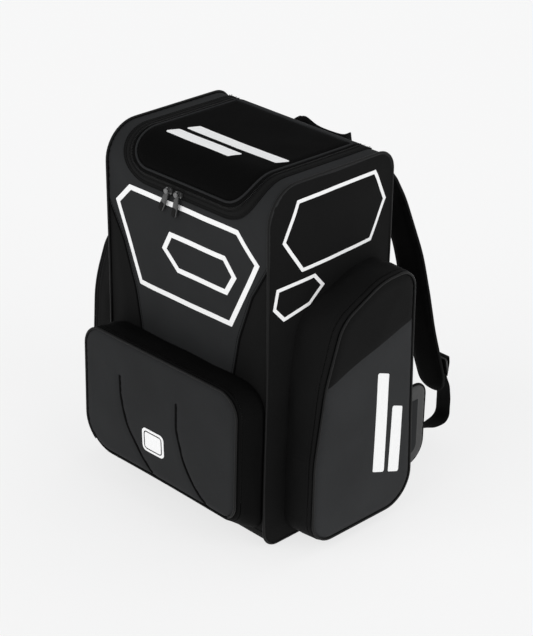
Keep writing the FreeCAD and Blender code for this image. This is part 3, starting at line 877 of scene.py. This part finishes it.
def make_lid():
    """Lid panel, its pad and the fold that it hinges on."""
    end = TOP_END - 1.8
    loop = dense(lid_u(-ZIP_HALF, end), 7.0)
    cloth = Cloth([loop], wrap, crown=0.2, dip=0.4, swell=0.2, seed=30)
    panel("lid_cloth", cloth, PANEL_T, "black_cloth", "lid", stands_for=("lid_panel",))
    pad = pad_cloth()
    piece = panel("lid_pad_cloth", pad, 0, "lid_cloth", "lid", grid=6.0, stands_for=("lid_pad",),
                  back=lambda flat: np.full(len(flat), -0.4))
    # The cord round the pad's edge is drawn in the lighter charcoal cloth as a painted highlight, where the
    # pad's rolled edge catches the light.
    line = dense(lid_u(-PAD_EDGE, run_at_top(LID_PAD_BACK_Y)), 6.0)
    low, high = wrap(line[:, 0], line[:, 1], 1.9), wrap(line[:, 0], line[:, 1], 2.9)
    sweep("lid_pad_highlight_binding", low, high - low, circle(1.9, 10), "charcoal_cloth", "lid", True)
    for n, (row, _, _) in enumerate(pad.channels):
        stitches("lid_pad_seam_%d" % n, pad, row, "black_cloth", "lid")
    loop = dense(rectangle(-130, run_at_top(97), 130, run_at_top(112), 2.0), 4.0)
    fold = Cloth([loop], raised(1.1), crown=0.6, falloff=4, dip=0.4, swell=0.2, seed=32)
    hinge = ("lid", "pack", (0, 98, TOP_Z), (0, 111, TOP_Z - 4))
    panel("lid_fold", fold, 1.6, "charcoal_cloth", hinge, grid=4.0)


# ---------------------------------------------------------------- pockets

def front_outline(y, grow):
    """Front pocket outline at depth y."""
    return grown(blended(FRONT_ROOT, FRONT_FACE, (FRONT_Y - y) / (FRONT_Y - FACE_Y)), grow)


def side_outline(sign):
    """Outline of one side pocket at distance x from the middle plane; the left one is packed fuller."""
    root, face = (SIDE_ROOT, SIDE_FACE) if sign > 0 else (LEFT_ROOT, LEFT_FACE)
    return lambda x, grow: grown(blended(root, face, (x - HALF_W) / (FACE_X - HALF_W)), grow)


def at_depth(y, flat):
    """Lay (x, z) at depth y."""
    return np.column_stack([flat[:, 0], np.full(len(flat), y), flat[:, 1]])


def at_side(sign):
    """Lay (y, z) at distance x on one side."""
    return lambda x, flat: np.column_stack([np.full(len(flat), sign * x), flat])


def slack(flat, amount, seed):
    """Loose cloth: the outline wavers in and out by up to this amount."""
    middle = flat.mean(axis=0)
    out = (flat - middle) / np.linalg.norm(flat - middle, axis=1)[:, None]
    return flat + out * (amount * ripple(flat * 1.4, seed))[:, None]


def pocket_ring(name, outline, put, section, slot, body, stands_for=(), loose=()):
    """Band round a pocket: each (depth, grow) of its section is carried round the outline."""
    rows = []
    for k, (depth, grow) in enumerate(section):
        flat = closed_outline(outline(depth, grow), 12, 24)
        if k < len(loose):
            flat = slack(flat, loose[k], 90 + k)
        rows.append(put(depth, flat))
    return grid_piece(name, rows, slot, body, True, True, stands_for, sharp=60)


def pocket_teeth(name, outline, put, depth, out, low, body):
    """Zip teeth along the part of a pocket's outline above the height low."""
    line = even(closed_outline(outline(depth, -0.9)), 2.4, closed=True)
    ring = put(depth, line)
    ahead = frames(ring, True)
    keep = line[:, 1] > low
    side = np.cross(ahead, np.broadcast_to(np.array(out, float), ahead.shape))
    boxes(name, ring[keep], ahead[keep], side[keep], (1.4, 1.2, 2.0), "buckle_plastic", body)


def shifted(section, base, step):
    """Section given as distances from a base depth."""
    return [(base + step * depth, grow) for depth, grow in section]


GUSSET_LIP = [(-8, 1.0), (-3, 0.4), (-0.5, -0.4), (-0.3, -1.6), (-3, -2.6)]
TAPE_BAND = [(-9, 0.5), (-7, 0.8), (-1.5, 0.8), (-0.4, 0.5), (-4, 0.2)]
GUSSET_SLACK = (0.0, 1.6, 3.0, 2.2)
FLAP_BAND = [(0.7, -0.5), (1.2, 0.6), (3.5, 0.8), (6.5, -0.6), (7.2, -3.0), (6.0, -4.4), (1.2, -4.4)]


def pocket_shell(kind, tail, outline, put, out, wall, lining, zip_at, step, slot, low):
    """Gusset and tape on the body, band on the flap, and zip teeth above the height low on both."""
    flap = kind + "_flap" + tail
    gusset = wall + shifted(GUSSET_LIP, zip_at, step) + lining
    pocket_ring(kind + "_gusset_cloth" + tail, outline, put, gusset, slot, "pack",
                (kind + "_pocket_gusset" + tail,), loose=GUSSET_SLACK)
    pocket_ring(kind + "_zip_tape" + tail, outline, put, shifted(TAPE_BAND, zip_at, step), slot, "pack",
                (kind + "_pocket_zip_tape" + tail,))
    pocket_ring(kind + "_flap_band" + tail, outline, put, shifted(FLAP_BAND, zip_at, step), slot, flap,
                (kind + "_flap_zip_tape" + tail,))
    for body, depth in (("pack", zip_at - step * 0.3), (flap, zip_at + step * 0.9)):
        pocket_teeth(kind + "_zip_teeth" + tail + "_" + body, outline, put, depth, out, low, body)


def front_face_cloth():
    """Padded face of the front pocket with its two curved darts."""
    left = open_line([(-86, 218, 0), (-84, 184, 60), (-69, 138, 90), (-41, 97, 90), (-16, 74, 0)])
    right = open_line([(43, 220, 0), (44, 177, 60), (59, 123, 90), (84, 87, 90), (105, 74, 0)])
    loop = closed_outline(front_outline(FACE_Y, -3.0), 12, 40)
    return Cloth([loop], front_place(FACE_Y + 3.0), crown=5.0, falloff=70, round_edge=(12, 3.4), dip=0.4,
                 swell=0.9, seed=41, channels=[(left, 2.6, 4.5), (right, 2.6, 4.5)])


def make_front_pocket():
    """Shell, padded face, darts, piping and badge."""
    wall = shifted([(-6, 0), (7, 1.0), (16, 1.8), (24, 1.8)], FRONT_Y, -1)
    lining = shifted([(24, -1.6), (-6, -3)], FRONT_Y, -1)
    pocket_shell("front", "", front_outline, at_depth, (0, -1, 0), wall, lining, FRONT_ZIP_Y, -1,
                 "pocket_cloth", 100)
    face = front_face_cloth()
    piece = panel("front_face_cloth", face, 6.0, "charcoal_cloth", "front_flap", grid=6.5,
                  stands_for=("front_flap_face",))
    for side, (line, _, _) in zip(("left", "right"), face.channels):
        cord_on("front_dart_" + side, face, line, 2.3, "pocket_cloth", "front_flap", lift=0.2)
    ring = closed_outline(front_outline(FACE_Y, -2.3), 12, 16)
    path = np.vstack([ring[32:], ring[:8]])
    sweep("front_piping_cord", at_depth(FACE_Y + 2.0, path), (0, -1, 0), circle(2.0, 12), "piping",
          "front_flap", stands_for=("front_flap_piping",))
    badge = rectangle(-31, 113, 17, 153, 8)
    printed("front_badge_patch", face, [badge], "front_flap", lift=0.9)
    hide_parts("front_badge")
    trim = stroke(dense(rectangle(-26, 118, 12, 148, 5), 5.0), 1.6)
    printed("front_badge_line", face, trim, "front_flap", slot="strap_cloth", lift=1.2)


def split_line(y):
    """Height of the seam between the dark and the light cloth on a side pocket's face."""
    return 301 + 0.33 * y - 0.0006 * y * y


def side_face_cloth(sign):
    """Padded face of a side pocket."""
    ys = np.linspace(-110, 150, 40)
    seam = np.column_stack([ys, split_line(ys)])
    loop = closed_outline(side_outline(sign)(FACE_X, -3.4), 10, 18)
    return Cloth([loop], side_place(sign, FACE_X - 3.0), crown=4.0, falloff=60, round_edge=(12, 3.4), dip=0.4,
                 swell=0.9, seed=50 + sign, channels=[(seam, 0.9, 2.2)])


def make_side_pockets():
    """The same build as the front pocket, on each side of the body."""
    wall = shifted([(-1, 0), (9, 1.2), (18, 2.2), (29, 2.2)], HALF_W, 1)
    lining = shifted([(26, -1.6), (-1, -3)], HALF_W, 1)
    for sign, side in both_sides():
        put = at_side(sign)
        outline = side_outline(sign)
        flap = "side_flap_" + side
        pocket_shell("side", "_" + side, outline, put, (sign, 0, 0), wall, lining, SIDE_ZIP_X, 1,
                     "side_cloth", 45)
        face = side_face_cloth(sign)
        seam = face.channels[0][0]
        lower = panel("side_face_lower_" + side, face, 6.0, "side_face_cloth", flap, grid=7.5, lines=[seam],
                      keep=lambda p: p[:, 1] < split_line(p[:, 0]), stands_for=("side_flap_face_" + side,))
        upper = panel("side_face_upper_" + side, face, 6.0, "side_cloth", flap, grid=7.5, lines=[seam],
                      keep=lambda p: p[:, 1] >= split_line(p[:, 0]))
        ring = closed_outline(outline(FACE_X, -2.3), 12, 16)
        sweep("side_flap_cord_" + side, put(FACE_X - 2.0, ring), (sign, 0, 0), circle(2.0, 12), "piping",
              flap, True, ("side_flap_piping_" + side,))


# ---------------------------------------------------------------- plain graphics

def make_prints():
    """White outline shapes and plain bars, of a general kind."""
    front = front_cloth()
    foot = BASE_Z + R_BASE
    large = [(-150, 470), (-120, 500), (110, 500), (150, 462), (96, 352), (-100, 352)]
    small = [(-30, 452), (84, 452), (104, 428), (88, 400), (-14, 400), (-44, 426)]
    for name, corners in (("large", large), ("small", small)):
        line = [(x, z - foot) for x, z in corners]
        printed("front_print_" + name, front, stroke(line, 8.0), "pack")
    tall = [(-70, 552), (84, 556), (108, 508), (78, 452), (-62, 446), (-96, 496)]
    short = [(-108, 426), (-38, 430), (-20, 410), (-46, 388), (-96, 378), (-114, 398)]
    for sign, side in both_sides():
        cloth = side_cloth(sign)
        printed("side_print_tall_" + side, cloth, stroke(tall, 5.5), "pack")
        printed("side_print_short_" + side, cloth, stroke(short, 5.5), "pack")
        face = side_face_cloth(sign)
        for name, corners in (("long", [(34, 102), (60, 92), (64, 258), (39, 268)]),
                              ("short", [(70, 88), (95, 78), (99, 190), (75, 200)])):
            bar = closed_outline([(y, z, 3) for y, z in corners], 5, 2)
            printed("side_bar_%s_%s" % (name, side), face, [bar], "side_flap_" + side)
    pad = pad_cloth()
    for name, x0, x1, y in (("long", -78, 112, -38), ("short", -90, 46, -68)):
        near, far = run_at_top(y - 10), run_at_top(y + 10)
        corners = ((x0 - 5, near), (x1 - 5, near), (x1 + 5, far), (x0 + 5, far))
        loop = closed_outline([(x, v, 3) for x, v in corners], 5, 2)
        printed("lid_bar_" + name, pad, [loop], "lid")


# ---------------------------------------------------------------- harness

PAD_PATH = [(133.8, 510, 0), (196, 512, 50), (232, 450, 150), (262, 350, 300), (282, 218, 400), (311, 94, 0)]
WEB_PATH = [(310.6, 131, 0), (323, 104, 25), (327, 80, 60), (327, 38, 16), (290, 36, 60), (131.6, 65, 0)]
WEB_X = 131.0
WEB_W = 30.0
FOLD_X = -42.0   # where the handle folds on its slack side


def strap_track():
    """Run, place and outward normal of the shoulder pad's middle line."""
    line = open_line(PAD_PATH, 4.0)
    ahead = frames(line, False)
    return run_along(line), line, np.column_stack([-ahead[:, 1], ahead[:, 0]])


def strap_place(sign, track):
    """Lay (x, run) along the shoulder pad."""
    return lambda u, v, h: carried(*track, sign * u, v, h)


def make_straps():
    """Shoulder pads with their binding, adjuster webbing, tails and lower tabs."""
    track = strap_track()
    run, line, _ = track
    low = int(np.argmax(line[:, 0] > 215))

    def down(z):
        return float(np.interp(-z, -line[low:, 1], run[low:]))

    corners = [
        (50, 0.5, 27), (107, 0.5, 27), (108, down(450), 300), (131, down(282), 300), (148, down(130), 60),
        (141, run[-1] - 1, 24), (96, run[-1] - 1, 24), (88, down(140), 80), (72, down(282), 300),
        (50, down(450), 300),
    ]
    loop = closed_outline(corners, 8, 14)
    for sign, side in both_sides():
        place = strap_place(sign, track)
        root = ("pack", "strap_" + side, (sign * 78.5, 129, 510), (sign * 78.5, 176, 510))
        cloth = Cloth([loop], place, crown=0.8, falloff=12, round_edge=(10, 4.6), dip=0.0, swell=0.4,
                      seed=60 + sign, base=1.0)
        piece = panel("strap_pad_cloth_" + side, cloth, 0, "strap_cloth", root, grid=7.0,
                      stands_for=("strap_pad_" + side,), back=lambda flat, c=cloth: -c.height(flat))
        edge = place(loop[:, 0], loop[:, 1], np.zeros(len(loop)))
        out = place(loop[:, 0], loop[:, 1], np.ones(len(loop))) - edge
        sweep("strap_binding_" + side, edge, out, circle(2.0, 10, 1.2), "zip_tape", root, True)
        make_webbing(sign, side)


def strap_line(sign, line):
    """Points in space, direction and outward normal of a strap that runs along this line."""
    path = at_side(sign)(WEB_X, line)
    ahead = frames(path, False)
    return path, ahead, np.column_stack([np.zeros(len(line)), -ahead[:, 2], ahead[:, 1]])


def make_webbing(sign, side):
    """Adjuster webbing with a slow twist on its way to the lower tab, and its loose tail."""
    line = open_line(WEB_PATH, 5.0)
    path, ahead, out = strap_line(sign, line)
    along = np.clip((320 - line[:, 0]) / 150, 0, 1)
    turn = math.radians(38) * np.sin(math.pi * along) ** 2 * (line[:, 1] < 100) * sign
    across = np.cross(ahead, out)
    out = out * np.cos(turn)[:, None] + across * np.sin(turn)[:, None]
    hang = ("pack", "strap_" + side, (sign * WEB_X, 134, 65), (sign * WEB_X, 290, 45))
    sweep("strap_webbing_strip_" + side, path, out, strip_section(WEB_W, 2.0), "webbing", hang,
          stands_for=("strap_webbing_" + side,))
    low, high = cad_box("strap_buckle_" + side)
    tail = open_line([(high.y - 5, high.z - 4, 0), (high.y + 5, high.z + 2, 4), (high.y + 7, high.z - 14, 20),
                      (high.y + 4, low.z - 10, 0)], 3.0)
    path, _, out = strap_line(sign, tail)
    sweep("strap_tail_" + side, path, out, strip_section(WEB_W - 2, 1.8), "webbing", "strap_" + side)
    loop = on_side(sign, dense(rectangle(WEB_X - 20, 50, WEB_X + 20, 80, 4), 6.0))
    tab = Cloth([loop], back_place(BACK_Y + 0.6), crown=0.4, round_edge=(2, 4.4), dip=0, swell=0.2)
    panel("webbing_tab_" + side, tab, 0, "webbing", "pack", stands_for=("webbing_anchor_" + side,),
          back=level, grid=5.0)
    box = crossed_box(sign, WEB_X - 13, 56, WEB_X + 13, 74)
    stitches("webbing_tab_stitches_" + side, tab, box, "wing_cloth", "pack", pitch=3.6)


def make_yoke():
    """Reinforcing strip that the shoulder pads and the handle are sewn to."""
    loop = dense(rectangle(-118, 486, 118, 520, 8), 6.0)
    yoke = Cloth([loop], back_place(BACK_Y + 0.4), crown=0.3, round_edge=(2, 2.4), dip=0, swell=0.2)
    panel("strap_yoke_cloth", yoke, 0, "strap_cloth", "pack", stands_for=("strap_yoke",), grid=6.0,
          back=level)
    ring = rectangle(-113, 490, 113, 516, 5)
    stitches("strap_yoke_stitches", yoke, np.vstack([ring, ring[:1]]), "wing_cloth", "pack")
    for sign, side in both_sides():
        loop = on_side(sign, dense(rectangle(50, 521.5, 74, 548, 4), 5.0))
        patch = Cloth([loop], back_place(BACK_Y + 0.4), crown=0.2, round_edge=(2, 1.8), dip=0, swell=0.1)
        stands = ("handle_anchors",) if sign > 0 else ()
        panel("handle_patch_" + side, patch, 0, "webbing", "pack", stands_for=stands, grid=5.0, back=level)
        box = crossed_box(sign, 54, 526, 70, 544)
        stitches("handle_patch_stitches_" + side, patch, box, "wing_cloth", "pack", pitch=3.4)


def make_handle():
    """Wide webbing handle that stands on edge, peaked at its folds and slack between them."""
    low, high = cad_box("handle_webbing")
    half, far, near = high.x - 1.5, high.y - 1.5, low.y
    plan = open_line([(-half, near, 0), (FOLD_X, far, 9), (half, far, 8), (half, near, 0)], 3.0)
    path = np.column_stack([plan, np.full(len(plan), (low.z + high.z) / 2)])
    ahead = frames(path, False)
    side = np.cross(ahead, np.array([0, 0, 1.0]))
    corner = [np.hypot(plan[:, 0] - x, plan[:, 1] - far) for x in (half, FOLD_X)]
    peak = np.exp(-(np.minimum(*corner) / 17) ** 2)
    sag = np.clip(1 - (plan[:, 0] / half) ** 2, 0, 1) * (plan[:, 1] > far - 6)
    sewn = np.clip((far - 8 - plan[:, 1]) / (far - 8 - near), 0, 1) ** 2
    tall = (high.z - low.z) / 2
    rows = []
    for a, b in strip_section(2 * tall, 2.6):
        lift = (peak * 9 - sag * 6) * (1.0 if a > 0 else 0.55) - sewn * (13.0 if a > 0 else 1.0)
        lean = (a / tall) * (peak * 3.0 - sag * 5.0)
        row = path + side * (b + lean)[:, None] + np.array([0, 0, 1.0]) * (a + lift)[:, None]
        rows.append(row)
    root = ("pack", "handle", (0, 128, 540), (0, 139, 540))
    grid_piece("handle_strip", rows, "webbing", root, True, False, ("handle_webbing",))


def make_wings():
    """Padded hip wings with a raised border, a recessed middle and a fold at the seam."""
    corners = [(132, 17, 6), (233, 17, 38), (233, 158, 24), (132, 158, 10)]
    loop = dense(closed_outline(corners, 10, 14), 6.0)
    ring = dense(closed_outline(grown(corners, -17), 10, 10), 6.0)
    groove = np.vstack([ring, ring[:1]])
    for sign, side in both_sides():
        low, high = cad_box("hip_wing_" + side)
        middle = (abs(low.x) + abs(high.x)) / 2
        cloth = Cloth([loop], side_place(sign, middle), crown=1.4, falloff=14, round_edge=(9, 5.6), dip=0,
                      swell=0.4, seed=70 + sign, channels=[(groove, 2.6, 4.0)])
        piece = panel("wing_pad_" + side, cloth, 0, "wing_cloth", "wing_" + side, grid=6.0,
                      stands_for=("hip_wing_" + side,), back=lambda flat, c=cloth: -c.height(flat) * 0.9)
        patch = closed_outline(grown(corners, -23), 8, 8)
        printed("wing_middle_" + side, cloth, [patch], "wing_" + side, slot="charcoal_cloth", lift=0.7)
        edge = cloth.place(loop[:, 0], loop[:, 1], np.zeros(len(loop)))
        section = circle(1.9, 10, 1.3)
        sweep("wing_binding_" + side, edge, (sign, 0, 0), section, "webbing", "wing_" + side, True)
        seam = dense(rectangle(125, 26, 146, 150, 2), 5.0)
        strip = Cloth([seam], side_place(sign, HALF_W - 1.4), crown=0.2, dip=0, swell=0.1)
        fold = ("pack", "wing_" + side, (sign * HALF_W, 126.5, 90), (sign * HALF_W, 134, 90))
        panel("wing_fold_" + side, strip, 1.6, "strap_cloth", fold, grid=4.0)


def make_back_pads():
    """Ventilated padding against the wearer."""
    pieces = (
        ("back_pad", [(-104, 112, 26), (104, 112, 26), (98, 476, 30), (-98, 476, 30)],
         [[(0, 128), (0, 462)], [(-96, 232), (96, 232)], [(-94, 352), (94, 352)]], 14),
        ("lumbar_pad", [(-100, 30, 20), (100, 30, 20), (100, 104, 20), (-100, 104, 20)],
         [[(-34, 36), (-34, 98)], [(34, 36), (34, 98)]], 17),
    )
    for name, corners, lines, thick in pieces:
        loop = dense(closed_outline(corners, 10, 4), 7.0)
        channels = [(np.array(line, float), thick * 0.45, 8.0) for line in lines]
        cloth = Cloth([loop], back_place(BACK_Y + 0.4), crown=2.0, falloff=40, round_edge=(16, thick - 2.5),
                      dip=0, swell=0.6, seed=80 + thick, channels=channels)
        piece = panel(name + "_cloth", cloth, 0, "mesh_cloth", "pack", grid=7.0, stands_for=(name,),
                      back=level)
        edge = cloth.place(loop[:, 0], loop[:, 1], np.full(len(loop), 1.8))
        sweep(name + "_binding", edge, (0, 1, 0), circle(1.8, 8), "webbing", "pack", True)


# ---------------------------------------------------------------- hard parts kept from the frame

def soften(node, slot, width):
    """Give a CAD node its material and soft edges."""
    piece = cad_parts[node]
    piece.data.materials.clear()
    piece.data.materials.append(LOOKS[slot])
    weld = piece.modifiers.new("weld", "WELD")
    weld.merge_threshold = 0.00001
    bevel = piece.modifiers.new("bevel", "BEVEL")
    bevel.width = width * MM
    bevel.segments = 2
    bevel.limit_method = "ANGLE"
    bevel.angle_limit = math.radians(40)
    bevel.harden_normals = True


def oblong(centre, wide, out, w, h, power=0.5, cuts=16):
    """Rounded oblong ring about a point."""
    ring = []
    for k in range(cuts):
        c, s = math.cos(2 * math.pi * k / cuts), math.sin(2 * math.pi * k / cuts)
        ring.append(centre + wide * w * np.sign(c) * abs(c) ** power + out * h * np.sign(s) * abs(s) ** power)
    return ring


def cad_points(node):
    """Corners of a CAD node's mesh in millimetres."""
    return np.array([v.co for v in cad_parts[node].data.vertices]) / MM


def make_pull(slider, puller, carrier, body):
    """Domed slider cap, and the plate and moulded tip of its pull tab."""
    points = cad_points(puller)
    low, high = cad_box(slider)
    start = np.array((low + high) / 2)
    middle = (points.min(axis=0) + points.max(axis=0)) / 2
    _, axes = np.linalg.eigh(np.cov((points - points.mean(axis=0)).T))
    out, wide, down = axes[:, 0], axes[:, 1], axes[:, 2]
    if (middle - start) @ down < 0:
        down = -down
    if (middle - start) @ out < 0:
        out = -out
    reach = ((points - start) @ down).max()
    base = start + out * ((points - start) @ out).mean()
    plate = [(0.24, 2.6, 0.7), (0.26, 3.9, 1.0), (0.64, 3.9, 1.0), (0.66, 3.4, 0.7)]
    rows = [oblong(base + down * reach * t, wide, out, w, h, 0.3) for t, w, h in plate]
    grid_piece(puller + "_plate", rows, "puller_metal", body, False, True)
    tip = [(0.62, 3.4, 0.9), (0.63, 4.1, 1.4), (0.80, 4.3, 1.5), (0.95, 4.3, 1.5), (1.01, 3.6, 1.3),
           (1.03, 2.2, 0.8)]
    rows = [oblong(base + down * reach * t, wide, out, w, h) for t, w, h in tip]
    grid_piece(puller + "_tip", rows, "base_rubber", body, False, True)
    top = start + out * ((cad_points(slider) - start) @ out).max()
    dome = [(-1.0, 4.2), (0.2, 4.6), (0.9, 4.3), (1.5, 3.2), (1.8, 1.2)]
    rows = [oblong(top + out * lift, wide, down, size, size, 1.0) for lift, size in dome]
    grid_piece(slider + "_cap", rows, "slider_metal", carrier, False, True)


def make_hard_parts():
    """Sliders, pull tabs, ladder locks, skid and stiffeners."""
    pulls = [("main_slider_right", "main_puller_right", "main_zip_right", "main_pull_right"),
             ("main_slider_left", "main_puller_left", "main_zip_left", "main_pull_left"),
             ("front_pocket_slider", "front_pocket_puller", "front_zip", "front_pull")]
    for _, side in both_sides():
        names = ("side_pocket_slider_", "side_pocket_puller_", "side_zip_", "side_pull_")
        pulls.append([name + side for name in names])
        soften("strap_buckle_" + side, "buckle_plastic", 0.7)
    for slider, puller, carrier, body in pulls:
        soften(slider, "slider_metal", 0.5)
        soften(puller, "puller_metal", 0.4)
        make_pull(slider, puller, carrier, body)
    soften("base_skid", "base_rubber", 1.5)
    soften("frame_sheet", "stiffener_plastic", 0.6)
    soften("base_stiffener", "stiffener_plastic", 0.6)


# ---------------------------------------------------------------- stage

CAMERA_ANGLES = (45.44, 26.45, 0.86)   # azimuth, elevation and roll in degrees
CAMERA_AIM = (0, 0, 0.290)             # metres
CAMERA_AWAY = 2.9555
CAMERA_SHIFT = (0.0307, -0.0052)       # right and up
CAMERA_LENS = 109.17
SURROUND = 0.45
FLOOR_GREY = 0.25
FLOOR_GLOW = 0.735
FLOOR_REACH = 60.0


def make_camera():
    """Camera where the picture was taken from."""
    azimuth, elevation, roll = (math.radians(a) for a in CAMERA_ANGLES)
    away = Vector((-math.sin(azimuth) * math.cos(elevation), math.cos(azimuth) * math.cos(elevation),
                   -math.sin(elevation)))
    level = Vector((math.cos(azimuth), math.sin(azimuth), 0))
    rise = level.cross(away)
    right = level * math.cos(roll) + rise * math.sin(roll)
    up = rise * math.cos(roll) - level * math.sin(roll)
    eye = Vector(CAMERA_AIM) - away * CAMERA_AWAY + right * CAMERA_SHIFT[0] + up * CAMERA_SHIFT[1]
    data = bpy.data.cameras.new("camera")
    data.lens = CAMERA_LENS
    data.clip_end = 50
    camera = bpy.data.objects.new("camera", data)
    matrix = Matrix((right, up, -away)).transposed().to_4x4()
    matrix.translation = eye
    camera.matrix_world = matrix
    bpy.context.scene.collection.objects.link(camera)
    bpy.context.scene.camera = camera


def soft_sun(name, azimuth, elevation, strength):
    """Broad soft light from one side; 0 degrees is straight in front of the pack."""
    data = bpy.data.lights.new(name, "SUN")
    data.energy = strength
    data.angle = math.radians(55)
    lamp = bpy.data.objects.new(name, data)
    a, e = math.radians(azimuth), math.radians(elevation)
    lamp.location = (3 * math.sin(a) * math.cos(e), -3 * math.cos(a) * math.cos(e), 3 * math.sin(e))
    lamp.rotation_mode = "QUATERNION"
    lamp.rotation_quaternion = (-lamp.location).to_track_quat("-Z", "Y")
    bpy.context.scene.collection.objects.link(lamp)


def make_stage():
    """Pale floor that glows a little, soft lights and an even surround."""
    scene = bpy.context.scene
    scene.view_settings.view_transform = "Standard"
    scene.view_settings.look = "None"
    world = bpy.data.worlds.new("surround")
    world.use_nodes = True
    world.node_tree.nodes["Background"].inputs[0].default_value = (0.98, 0.99, 1.0, 1.0)
    world.node_tree.nodes["Background"].inputs[1].default_value = SURROUND
    scene.world = world
    mesh = bpy.data.meshes.new("floor")
    corners = [(FLOOR_REACH * a, FLOOR_REACH * b, 0) for a, b in SQUARE]
    mesh.from_pydata(corners, [], [(0, 1, 2, 3)])
    paper = bpy.data.materials.new("floor_paper")
    paper.use_nodes = True
    shader = paper.node_tree.nodes["Principled BSDF"]
    shader.inputs["Base Color"].default_value = (FLOOR_GREY, FLOOR_GREY, FLOOR_GREY, 1.0)
    shader.inputs["Roughness"].default_value = 1.0
    shader.inputs["Specular IOR Level"].default_value = 0.0
    shader.inputs["Emission Color"].default_value = (1.0, 1.0, 1.0, 1.0)
    shader.inputs["Emission Strength"].default_value = FLOOR_GLOW
    mesh.materials.append(paper)
    floor = bpy.data.objects.new("floor", mesh)
    scene.collection.objects.link(floor)
    soft_sun("key", -12, 30, 1.0)
    soft_sun("side", 95, 25, 0.8)
    soft_sun("rear", 170, 45, 0.35)


make_camera()
make_stage()
make_body()
make_rim()
make_lid()
make_front_pocket()
make_side_pockets()
make_prints()
make_straps()
make_yoke()
make_handle()
make_wings()
make_back_pads()
make_hard_parts()
